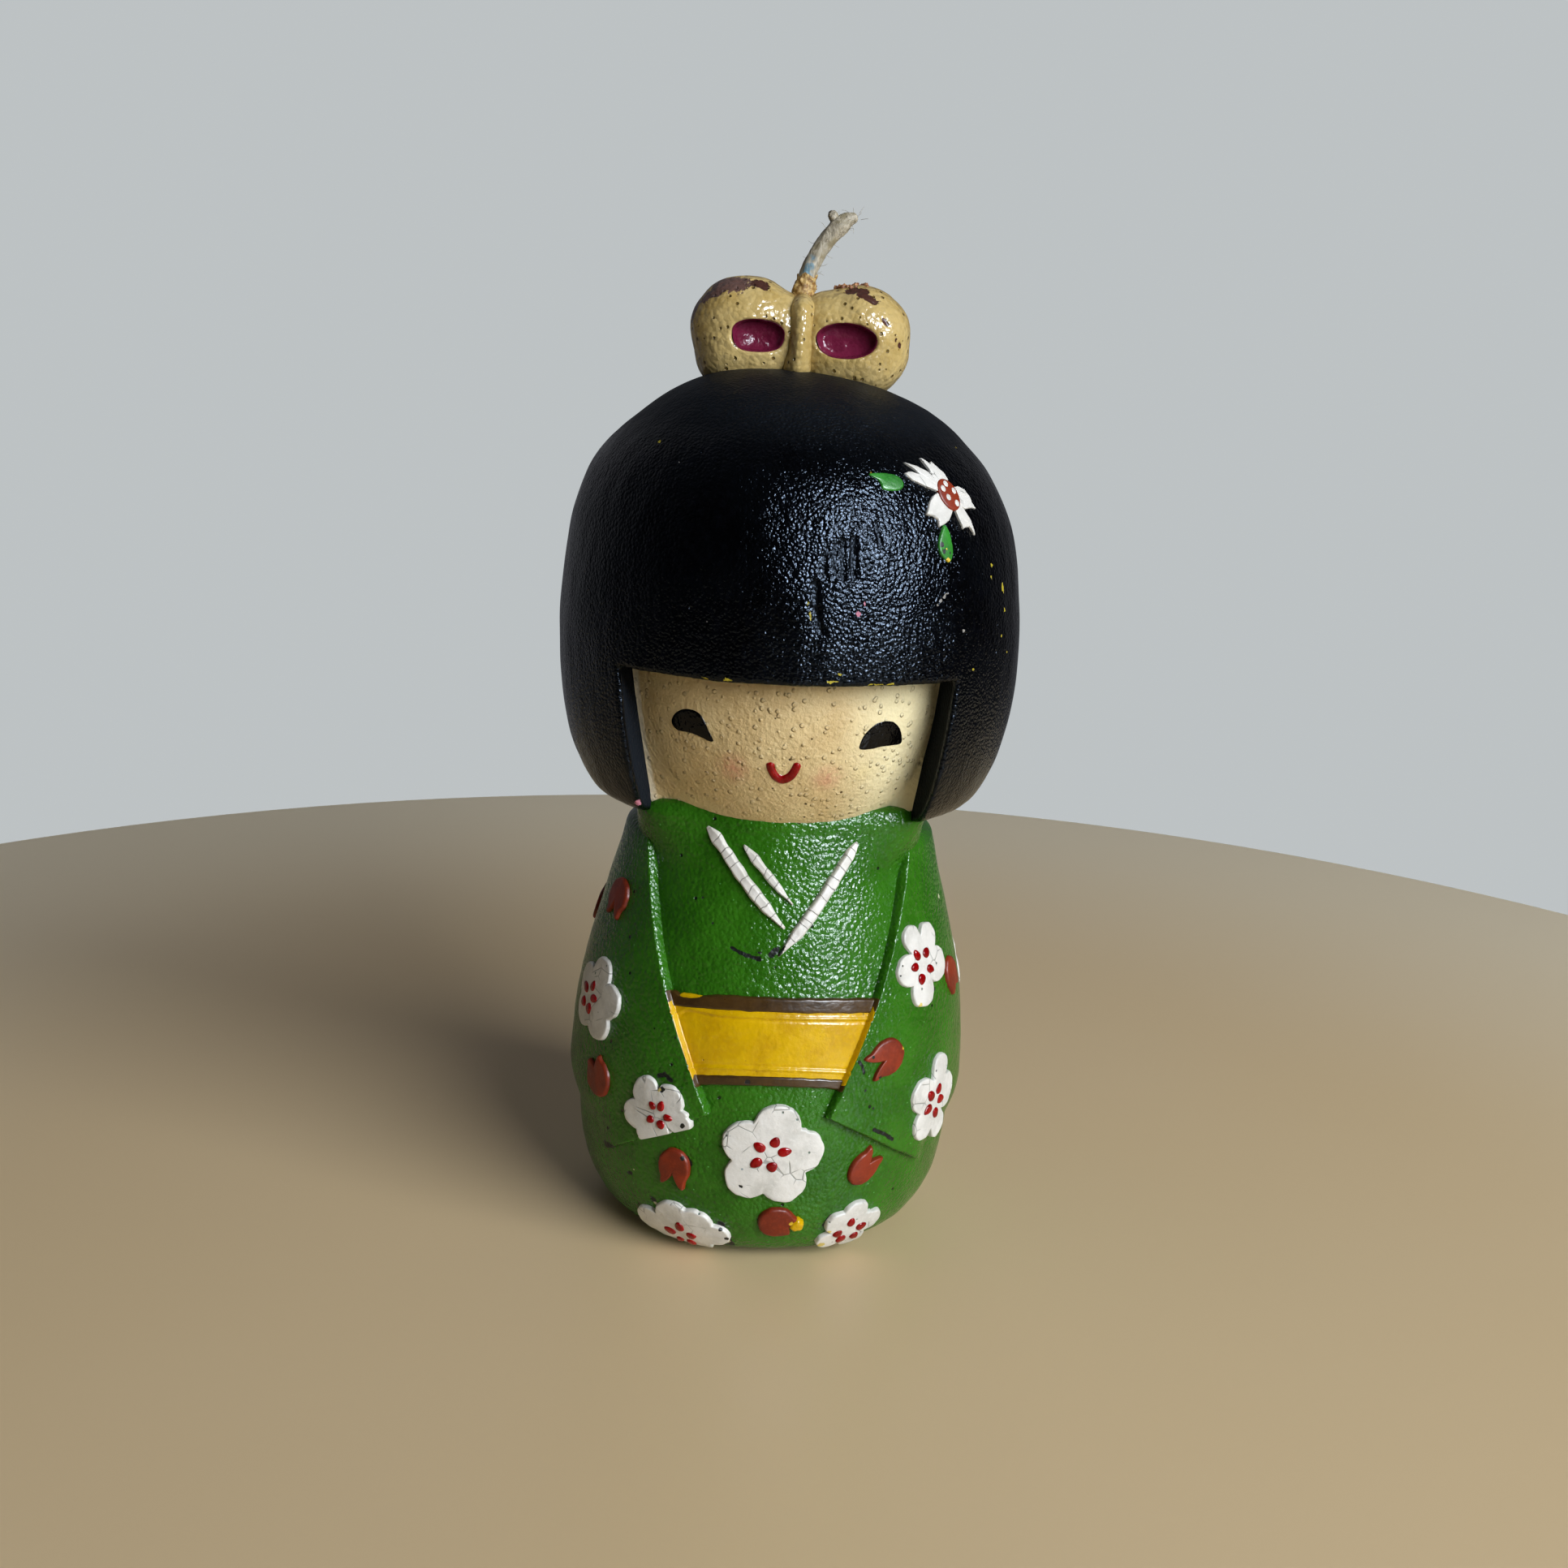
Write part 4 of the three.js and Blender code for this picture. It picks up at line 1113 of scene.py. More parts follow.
def recess_field(points, recess):
    """The room of a recess, with a rounded bottom edge; negative inside."""
    x = np.abs(points[:, 0] - recess["x"]) / recess["half_width"]
    z = np.abs(points[:, 2] - recess["z"]) / recess["half_height"]
    power = recess["square"]
    oval = ((x**power + z**power) ** (1 / power) - 1) * recess["half_height"]
    return soft_max(oval, points[:, 1] - recess["floor"] - 0.3, 0.5)


def lobe_front(x, z, side):
    """How far forward the lobe's surface is at a place in the bow's frame."""
    inner, outer = np.zeros_like(x), np.full_like(x, -9.0)
    for _ in range(24):
        middle = (inner + outer) / 2
        inside = lobe_field(np.stack([x, middle, z], axis=-1), side) < 0
        inner, outer = np.where(inside, middle, inner), np.where(inside, outer, middle)
    return inner


# The lobes' worn marks: each is a line of points in the bow's frame, and its width.
LOBE_MARKS = {
    -1: {
        "chip": [
            ([(-6.2, -3.3, 5.3), (-5.1, -3.6, 5.1)], 2.3),
            ([(-4.9, -3.9, 4.6)], 1.3),
            ([(-12.7, -3.2, 1.0)], 0.5),
        ],
        "bare": [
            ([(-10.3, -2.8, 4.8), (-8.6, -3.4, 4.9)], 5.2),
            ([(-11.9, -2.8, 3.0), (-10.6, -3.6, 3.6)], 3.0),
            ([(-13.3, -1.6, 0.4), (-13.2, -1.8, 2.2)], 2.4),
        ],
    },
    1: {
        "chip": [
            ([(5.9, -3.0, 5.1), (7.5, -3.2, 4.9)], 2.3),
            ([(7.2, -3.8, 4.4), (8.7, -4.2, 3.7)], 2.0),
            ([(10.1, -5.1, 1.6), (10.7, -5.0, 1.1)], 1.0),
            ([(11.8, -4.3, -0.6)], 1.0),
            ([(12.5, -3.8, -1.2)], 1.05),
        ],
    },
}


def make_lobe(word, side):
    """One lobe of the bow, with the room for its painted recess."""
    mirror = np.array([side, 1, 1])

    def field(points):
        local = to_bow(points) * mirror
        waves = np.sin(local[:, 0] * 0.9 + 1.1 * side) * np.cos(local[:, 2] * 0.8)
        body = lobe_field(local, side) + 0.09 * waves
        return soft_max(body, -recess_field(local, RECESSES[side]), 0.3)

    low = np.array([0.0 if side > 0 else -15.2, -7.6, BOW_MIDDLE[2] - 8.6])
    high = np.array([15.2 if side > 0 else 0.0, 7.6, BOW_MIDDLE[2] + 7.4])
    points, faces = skin(field, low - 0.4, high + 0.4, 0.26)
    normal = outward(field, points)
    lumps = layered(points, (0.07, 2.4, 21), (0.03, 0.8, 22))
    values = {}
    for key, strokes in LOBE_MARKS[side].items():
        values[key] = marks(points, [(from_bow(line), width) for line, width in strokes])
    lumps -= 0.12 * ease(values["chip"], 0.15, 0.45)
    mesh = (points + normal * lumps[:, None], faces)
    add_piece("bow_lobe_" + word, mesh, CREAM, ["bow_loop_" + word], values)


def make_recess(word, side):
    """The glossy painted bowl in a lobe: a floor with bumps and walls that come up to the front."""
    recess = RECESSES[side]
    t = np.linspace(0, 2 * math.pi, 120, endpoint=False)
    ring, power = circle(len(t)), recess["square"]
    wobble = 1 + 0.02 * np.sin(3 * t + side) + 0.015 * np.sin(5 * t)
    wobble = wobble / (np.abs(ring) ** power).sum(1) ** (1 / power)
    rim = ring * wobble[:, None] * (recess["half_width"], recess["half_height"])
    shares = np.array([1.0, 0.99, 0.97, 0.94, 0.9, 0.85, 0.79, 0.72, 0.62, 0.5, 0.36, 0.2, 0.08])[:, None]
    x = recess["x"] + shares * rim[:, 0]
    z = recess["z"] + shares * rim[:, 1]
    edge_x, edge_z = recess["x"] + rim[:, 0], recess["z"] + rim[:, 1]
    front = lobe_front(edge_x, edge_z, side) + 0.12
    rise = ease(shares, 0.72, 1.0) ** 1.6
    y = recess["floor"] + (front - recess["floor"]) * rise
    flat = np.stack([x, y, z], axis=-1)
    lumps = layered(flat, (0.2, 1.5, 30 + side), (0.06, 0.7, 33))
    y = y + lumps * ease(shares, 1.0, 0.85)
    rings = np.stack([side * x, y, z], axis=-1)
    under = rings[0] + np.array([0, 1.2, 0])
    rings = from_bow(np.concatenate([under[None], rings]))
    if side < 0:
        rings = rings[:, ::-1]
    add_piece("bow_recess_" + word, wrapped(rings), PLUM, ["bow_inlay_" + word])


def make_knot():
    def field(points):
        local = to_bow(points)
        x, y, z = local.T
        high = np.clip((z + 1.2) / 6.4, -1, 1)
        depth = 6.6 * (1 - np.abs(high) ** 3) ** (1 / 3) + 0.02
        wide = 2.2 + 0.12 * np.sin(z * 0.8) - 0.55 * ease(z, 1.2, 4.6)
        across = (np.hypot(x / wide, y / depth) - 1) * wide
        return soft_max(across, np.abs(z + 1.2) - 6.0, 2.4)

    low, high = np.array([-3.6, -7.8, BOW_MIDDLE[2] - 8.8]), np.array([3.6, 7.8, BOW_MIDDLE[2] + 6.4])
    points, faces = skin(field, low, high, 0.24)
    lumps = layered(points, (0.07, 1.8, 24), (0.03, 0.7, 25))
    values = {"chip": marks(points, [([from_bow((0.2, -5.6, 2.3))], 0.45)])}
    mesh = (points + outward(field, points) * lumps[:, None], faces)
    add_piece("bow_knot_roll", mesh, CREAM, ["bow_knot"], values)


# ================================================================ the wick
WICK_ROUTE = [
    (0, 0, 3),
    (0, 0, 40),
    (0, 0, 80),
    (0, 0, 112),
    (0, 0, 121),
    (0.2, 0, 124.6),
    (0.95, 0, 127.0),
    (2.4, 0, 129.6),
    (4.0, 0, 131.6),
    (5.2, 0, 132.6),
    (6.5, 0, 133.1),
]
STUB_ROUTE = [(4.3, 0.1, 131.5), (3.7, 0.0, 132.5), (3.35, -0.1, 133.1), (2.95, 0, 133.6)]
WICK_RADIUS = 1.02


def tube(line, radii, sides, strands=0, twist=0.0):
    """A closed tube along a line, round or with strands that twist round it."""
    ahead = unit(np.gradient(line, axis=0))
    side = unit(np.cross(ahead, (0.0, 1.0, 0.02)))
    up = np.cross(ahead, side)
    turn = -np.linspace(0, 2 * math.pi, sides, endpoint=False)[None, :]
    radius = np.asarray(radii, float)[:, None] * np.ones_like(turn)
    if strands:
        radius = radius * (1 + 0.1 * np.abs(np.sin(strands * turn / 2 + twist * lengths(line)[:, None])))
    around = np.cos(turn)[..., None] * side[:, None] + np.sin(turn)[..., None] * up[:, None]
    return line[:, None] + around * radius[..., None]


def ragged_tube(line, radii, sides, strands, twist, *swells):
    """A stranded tube that swells here and there, by layers of noise."""
    rings = tube(line, radii, sides, strands, twist)
    swell = 1 + layered(rings, *swells)
    middle = line[:, None]
    return wrapped(middle + (rings - middle) * swell[..., None])


def make_wick():
    line = smooth_line(WICK_ROUTE, 30)
    left = lengths(line)[-1] - lengths(line)
    radii = WICK_RADIUS * (1 + 0.12 * ease(left, 5, 2)) * rounded(left / 0.55)
    radii = np.maximum(radii * (0.52 + 0.48 * ease(left, 0.0, 2.6)), 0.05)
    main = ragged_tube(line, radii, 26, 6, 0.7, (0.1, 1.1, 40), (0.035, 0.45, 41))
    stub_line = smooth_line(STUB_ROUTE, 8)
    last = len(stub_line) - 1
    stub_radii = np.interp(np.arange(last + 1), [0, 8, 20, last], [0.75, 0.62, 0.55, 0.2])
    stub = ragged_tube(stub_line, stub_radii, 18, 4, 1.4, (0.16, 0.5, 43))
    points, faces = joined([main, stub])
    values = {
        "blue": marks(points, [([(0.45, -1.0, 126.2), (0.8, -1.0, 127.4)], 2.2)]),
        "burnt": marks(points, [([(3.1, 0, 133.4)], 2.2)]),
    }
    add_piece("wick_cord", (points, faces), COTTON, ["wick"], values)
    make_fibres(line)


def make_fibres(line):
    """Loose cotton hairs that stand off the wick, its crust and the bow's top."""
    free = line[line[:, 2] > 124.5]
    hairs = []
    for _ in range(46):
        root = free[RANDOM.integers(len(free))]
        out = RANDOM.normal(size=3) * (1, 1, 0.7)
        out /= np.linalg.norm(out)
        reach = RANDOM.uniform(0.5, 1.7)
        start = root + out * WICK_RADIUS * 0.8
        bend = RANDOM.normal(size=3) * 0.3
        end = start + out * reach + bend + (0, 0, 0.2)
        hair_line = smooth_line([start, (start + end) / 2 + bend * 0.6, end], 4)
        hairs.append(wrapped(tube(hair_line, np.linspace(0.028, 0.012, len(hair_line)), 4)))
    add_piece("wick_fibres", joined(hairs), COTTON)


def make_crust():
    """The collar of old rough wax where the wick leaves the knot."""
    line = smooth_line(WICK_ROUTE, 30)
    line = line[(line[:, 2] > 121.8) & (line[:, 2] < 127.4)][::3]

    def field(points):
        bumps = layered(points, (0.26, 0.7, 50), (0.16, 0.32, 51))
        thick = 1.22 + 0.3 * ease(points[:, 2], 125.4, 123.8)
        around = line_distance(points, line) - thick - bumps
        return soft_max(around, np.maximum(points[:, 2] - 125.9 - bumps, 122.4 - points[:, 2]), 0.5)

    points, faces = skin(field, (-3.2, -3.2, 121.8), (3.6, 3.2, 127.6), 0.17)
    add_piece("wick_crust", (points, faces), CRUST, ["wick_wax_crust"])


def blob(centre, radius, seed):
    """A small ragged crumb."""
    phi = np.linspace(0.15, math.pi - 0.15, 9)[:, None]
    theta = np.linspace(0, 2 * math.pi, 14, endpoint=False)[None, :]
    ball = stacked(np.sin(phi) * np.cos(theta), np.sin(phi) * np.sin(theta), -np.cos(phi))
    size = radius * (1 + 0.55 * fuzz(ball * 2.0 + seed, 1.0, seed))
    return wrapped(np.array(centre) + ball * size[..., None])


def lobe_top(x, y):
    """How high the right lobe is at a place in the bow's frame."""
    z = np.linspace(0, 8, 161)
    inside = lobe_field(stacked(x, y, z), 1) < 0
    return z[inside].max()


def make_crumbs():
    """Brown crumbs of wax stuck along the top of the right lobe."""
    crumbs = []
    for number in range(26):
        x = 3.4 + 4.6 * RANDOM.uniform() ** 0.8
        y = RANDOM.uniform(-2.2, 0.4)
        spot = from_bow((x, y, lobe_top(x, y) + 0.03))
        crumbs.append(blob(spot, RANDOM.uniform(0.1, 0.34), number))
    add_piece("bow_crumbs", joined(crumbs), CRUMBS)


# ================================================================ sleeves, obi and collar
SLEEVE_LIFT = 1.3
SLEEVE_EDGE = 0.5  # how far in the sleeve's edge is rounded
SINK = 0.3  # how deep the edges of what lies on the kimono go into it
FRONT_EDGE = smooth_line([(16, 22.5), (25, 31.2), (37, 41), (56, 55.4)], 12)
HEM = smooth_line([(16, 22.0), (29, 18.6), (42, 15), (54, 12.4), (72, 12.9), (122, 14.5)], 8)
SLEEVE_TOP = 56.4
SLEEVE_BACK = 122.0  # the angle of the sleeve's back edge


def unrolled(angle, z):
    """Places on the kimono as millimetres round it and up its outline."""
    return stacked(np.radians(angle) * FLAT_RADIUS, kimono.along(z))


def make_sleeve(word, side):
    columns, rows = grid_size(230, 150)
    across = np.linspace(0, 1, columns)[None, :] ** 1.35
    up = np.linspace(0, 1, rows)[:, None]
    up = 0.5 - 0.5 * np.cos(math.pi * up) * (0.55 + 0.45 * np.abs(np.cos(math.pi * up)) ** 0.5)
    up = (up - up.min()) / (up.max() - up.min())
    angle = HEM[0, 0] + (SLEEVE_BACK - HEM[0, 0]) * across
    low = np.interp(angle, HEM[:, 0], HEM[:, 1])
    high = np.where(angle < FRONT_EDGE[-1, 0], np.interp(angle, *FRONT_EDGE.T), SLEEVE_TOP)
    z = low + (high - low) * up
    angle = angle * np.ones_like(z)
    place = upright(side * angle, z, kimono.radius(z))
    flat = unrolled(angle, z)
    front = line_distance(flat, unrolled(*FRONT_EDGE.T))
    hem = line_distance(flat, unrolled(*HEM.T))
    back = np.radians(SLEEVE_BACK - angle) * FLAT_RADIUS
    # The hem is a crisp step at the front and melts into the kimono towards the side.
    melt = ease(angle, 47, 60)
    hem_rise = rounded(hem / SLEEVE_EDGE) * (1 - melt) + ease(hem, 0, 7.5) * melt
    rise = rounded(front / SLEEVE_EDGE) * hem_rise * ease(back, 0, 2.5) * ease(z, SLEEVE_TOP, 53.6)
    lift = -SINK + (SLEEVE_LIFT + SINK) * rise
    shape = kimono.at_height(place, z, lift)
    lift = lift + layered(shape, (0.09, 5.0, 60), (0.045, 1.6, 61)) * ease(rise, 0.2, 0.9)
    top = kimono.at_height(place, z, lift)
    bottom = kimono.at_height(place, z, np.full_like(lift, -SINK - 0.5))
    if side < 0:
        top, bottom = top[:, ::-1], bottom[:, ::-1]
    points, faces = slab(top, bottom)
    values = worn(points, SLEEVE_MARKS[word], kimono, SLEEVE_LIFT)
    add_piece("kimono_sleeve_" + word, (points, faces), GREEN, ["sleeve_" + word], values)


OBI_LAP = 0.35  # how far the obi's paint climbs onto the sleeves
OBI_DROOP = 0.8  # how much lower the obi's ends are than its middle


def raised(angle, z, lift, below=0.5):
    """A slab on the kimono: its top is lifted off the surface, and its underside lies below it."""
    bottom = kimono.at_height(angle, z, np.full_like(lift, -SINK - below))
    return slab(kimono.at_height(angle, z, lift), bottom)


def front_angle(z):
    """The angle of the sleeve's front edge at a height."""
    return np.interp(z, FRONT_EDGE[:, 1], FRONT_EDGE[:, 0])


def obi_strip(
    low, high, face, rows, seed, middle=0.0, half=None, edge=0.3, wave=0.0, ridges=False
):
    """A band round the waist. At the front its ends climb the sides of the sleeves.

    low and high are the heights of its edges, as numbers or as functions of how far across it is.
    face is how far it stands out and edge how far in its edges are rounded. half is half the angle
    it covers round its middle; without it, it reaches from sleeve to sleeve."""
    across = crowded(int(190 / COARSE))[None, :]
    up = (0.5 + 0.5 * crowded(rows))[:, None]
    low_line = low(across) if callable(low) else low
    high_line = high(across) if callable(high) else high
    z = low_line + (high_line - low_line) * up - OBI_DROOP * across**2
    if wave:
        ripple = stacked(across * 16, 0 * across, np.round(up) * 9)
        z = z + wave * fuzz(ripple, 2.2, seed) * np.abs(2 * up - 1)
    radius = kimono.radius(z)
    if half is None:
        reach = np.radians(front_angle(z)) * radius
        u = across * (reach + OBI_LAP)
        inside = np.abs(u) - reach
    else:
        u = across * np.radians(half) * radius
        inside = np.full_like(u * z, -1.0)
    angle = upright(middle + np.degrees(u / radius), z, radius)
    droop = OBI_DROOP * across**2
    tall = kimono.along(high_line - droop) - kimono.along(low_line - droop)
    border = np.minimum(up, 1 - up) * tall
    lift = -SINK + (face + SINK) * rounded(border / edge)
    # Its ends follow the wall of the sleeve.
    climb = 0.1 - SINK + (SLEEVE_LIFT + SINK) * rounded(inside / SLEEVE_EDGE)
    climbing = (inside > -0.35) & (border > 0)
    lift = np.where(climbing, np.maximum(lift, np.minimum(climb, lift + 0.9)), lift)
    if ridges:
        inset = np.where(up > 0.5, border, border + 0.35)
        for place, height in ((1.9, 0.22), (2.25, -0.14)):
            lift = lift + height * np.exp(-(((inset - place) / 0.15) ** 2))
    lift[:, [0, -1]] = -SINK
    return raised(angle, z, lift + 0.03 * fuzz(kimono.at_height(angle, z, lift), 1.2, 70 + seed))


def yellow_sliver(across):
    """Where yellow shows above the upper cord: near its left end."""
    return ease(across, -0.45, -0.8) * ease(across, -0.95, -0.86)


def make_obi():
    band = obi_strip(27.0, lambda across: 36.8 + 0.4 * yellow_sliver(across), 0.42, 70, 1, ridges=True)
    add_piece("obi_front", band, YELLOW, ["obi_band"])
    upper_top = lambda across: 37.4 - 0.6 * yellow_sliver(across)
    cords = {
        "upper": obi_strip(35.45, upper_top, 0.62, 22, 2, edge=0.35, wave=0.12),
        "lower": obi_strip(26.3, 27.75, 0.62, 20, 3, edge=0.35, wave=0.1),
    }
    for word, cord in cords.items():
        values = worn(cord[0], {"chip": [([(-6.1, 26.9)], 0.9)]}, kimono, 0.6)
        add_piece(f"obi_cord_{word}", cord, BROWN, [f"obi_{word}_cord"], values)


BACK_HALF = 180 - SLEEVE_BACK + 1.0  # the band at the back laps a degree onto both sleeves
DRUM = dict(half=19.0, low=24.8, high=38.6, face=3.2)


def make_obi_back():
    """The guessed back: the band goes round, and a drum knot sits on it."""
    band = obi_strip(27.2, 36.2, 0.6, 60, 4, middle=180, half=BACK_HALF, ridges=True)
    add_piece("obi_back", band, YELLOW, ["obi_back_band"])
    columns, rows = grid_size(110, 90)
    across = crowded(columns)[None, :]
    up = crowded(rows)[:, None]
    corner = (np.abs(across) ** 5 + np.abs(up) ** 5) ** 0.2
    pinch = 1 - 0.04 * (1 - up**2)
    z = (DRUM["low"] + DRUM["high"]) / 2 + up * (DRUM["high"] - DRUM["low"]) / 2
    angle = 180 + across * DRUM["half"] * pinch
    lift = -SINK + (DRUM["face"] + SINK) * rounded((1 - corner) / 0.22)
    lift = lift - 0.35 * np.exp(-(((up + 0.55) / 0.05) ** 2)) * ease(corner, 1.0, 0.8)
    lift[[0, -1], :] = -SINK
    lift[:, [0, -1]] = -SINK
    lift = lift + 0.06 * fuzz(kimono.at_height(angle, z, lift), 2.5, 75) * ease(corner, 1.0, 0.8)
    drum = raised(angle, z, lift, below=0.4)
    add_piece("obi_drum", drum, YELLOW, ["obi_drum_knot"])
    up = np.linspace(0, 1, 14)[:, None]
    z = 31.0 + 1.6 * up + 0.05 * np.sin(across * 5)
    face = -SINK + (DRUM["face"] + SINK) * rounded((1 - np.abs(across)) / 0.22)
    lift = face + 0.55 * rounded(2 * np.minimum(up, 1 - up)) - 0.1
    angle = 180 + across * (DRUM["half"] + 0.4)
    cord = raised(angle, z, lift, below=0.0)
    add_piece("obi_drum_tie", cord, BROWN, ["obi_drum_cord"])


# Each collar: its route as angles and heights, and how thick it is.
COLLARS = {
    "collar_outer_left": ([(-29.4, 57.2), (-21.5, 54.8), (-9.0, 50.0), (2.8, 45.6)], 1.0),
    "collar_inner_left": ([(-13.6, 55.4), (-8.0, 53.5), (-1.2, 51.0), (5.4, 48.5)], 0.52),
    "collar_right": ([(1.0, 42.3), (9.5, 46.2), (21.5, 51.9), (30.9, 56.0)], 1.05),
}


def ribbon(line, width, count):
    """Rows of points along a line in a plane, side by side across its width, and how far across."""
    ahead = unit(np.gradient(line, axis=0))
    side = np.stack([-ahead[:, 1], ahead[:, 0]], axis=-1)
    across = crowded(count)[:, None]
    return line[None] + side[None] * (across * width)[..., None], across


def make_collar(name, route, thickness):
    """A thick strip of white paint, laid along a route and drawn out thin at its ends."""
    line = smooth_line(route, 34)
    flat = unrolled(*line.T)
    length = lengths(flat)
    left = length[-1] - length
    taper = ease(length, -0.3, 2.6) ** 0.5 * (0.25 + 0.75 * ease(left, 0, 4.5))
    if name == "collar_right":  # its route runs up to the shoulder, and the others run down from it
        taper = ease(left, -0.4, 2.8) ** 0.5 * (0.2 + 0.8 * ease(length, 0, 4.5))
    wobble = np.array([noise.noise(Vector((v * 0.55, len(name), 0))) for v in length])
    width = 0.86 * thickness**0.5 * taper * (1 + 0.2 * wobble)
    place, across = ribbon(flat, width, 22)
    height = np.interp(place[..., 1], kimono.s, kimono.z)
    angle = upright(np.degrees(place[..., 0] / FLAT_RADIUS), height, FLAT_RADIUS)
    tall = 0.75 * (0.45 + 0.55 * taper) * rounded(np.minimum(length, left) / 0.7)
    lift = -SINK + (tall + SINK) * rounded((1 - np.abs(across)) / 0.5)
    shape = kimono.at(angle, place[..., 1], lift)
    lift = lift + 0.07 * fuzz(shape, 1.0, 80) * ease(1 - np.abs(across), 0, 0.4)
    top = kimono.at(angle, place[..., 1], lift)
    bottom = kimono.at(angle, place[..., 1], np.full_like(lift, -SINK - 0.4))
    points, faces = slab(top, bottom)
    values = {"run": np.tile(length, 2 * len(across))}
    if name == "collar_right":
        values.update(worn(points, {"chip": [([(-0.6, 41.9), (1.8, 43.3)], 1.5)]}, kimono, 0.5))
    add_piece(name + "_strip", (points, faces), STRIP, [name], values)


def strip_paint():
    """The collar's white paint, cracked across every few millimetres."""
    f = Finish("strip_paint")
    base = f.mix(f.between(f.noise(3, 3), 0.35, 0.6), colour("d3d1ca"), colour("e8e6e1"))
    inputs = {"W": f.math("ADD", f.attribute("run"), f.noise(1.6, 1)), "Scale": 0.62}
    settings = dict(voronoi_dimensions="1D", feature="DISTANCE_TO_EDGE")
    cell = f.node("ShaderNodeTexVoronoi", inputs, **settings).outputs["Distance"]
    crack = f.between(cell, 0.05, 0.015)
    base = f.mix(f.times(crack, 0.7), base, colour("6f6c66"))
    f.raise_by(crack, -0.08)
    f.raise_by(f.noise(0.5, 3, shift=3), 0.06)
    speck = f.specks(1.6, 0.08, 0.3, shift=4)
    base = f.mix(speck, base, colour("3c4238"))
    base = f.mix(f.layer_mask("chip"), base, colour("12160f"))
    return f.done(base, 0.47)


STRIP = strip_paint()


# ================================================================ flowers
def lobed_rim(lobes, notches=(), count=150, core=0.55, seed=0, rough=0.035):
    """A rim round petals: each lobe is a direction, a reach and the radius of its round end."""
    t = np.linspace(0, 2 * math.pi, count, endpoint=False)
    reach = np.full(count, core * min(length for _, length, _ in lobes))
    for direction, length, radius in lobes:
        off = t - math.radians(direction)
        centre = length - radius
        inner = radius**2 - (centre * np.sin(off)) ** 2
        exit_at = centre * np.cos(off) + np.sqrt(np.maximum(inner, 0))
        reach = np.maximum(reach, np.where((inner > 0) & (np.cos(off) > 0), exit_at, 0))
    for direction, depth, half in notches:
        off = np.degrees(np.abs(np.angle(np.exp(1j * (t - math.radians(direction))))))
        reach = reach - depth * np.maximum(0, 1 - off / half)
    ring, third = circle(count), seed * 3.1
    waves = flat_fuzz(ring * 5, 1.3, seed, third) + 0.4 * flat_fuzz(ring * 5, 0.4, seed + 1, third)
    return ring * (reach * (1 + rough * waves))[:, None]


def regular_lobes(radius, turn):
    """Five petals of one size, for the blossoms at the back."""
    return [(turn + 72 * i, radius, radius * 0.45) for i in range(5)]


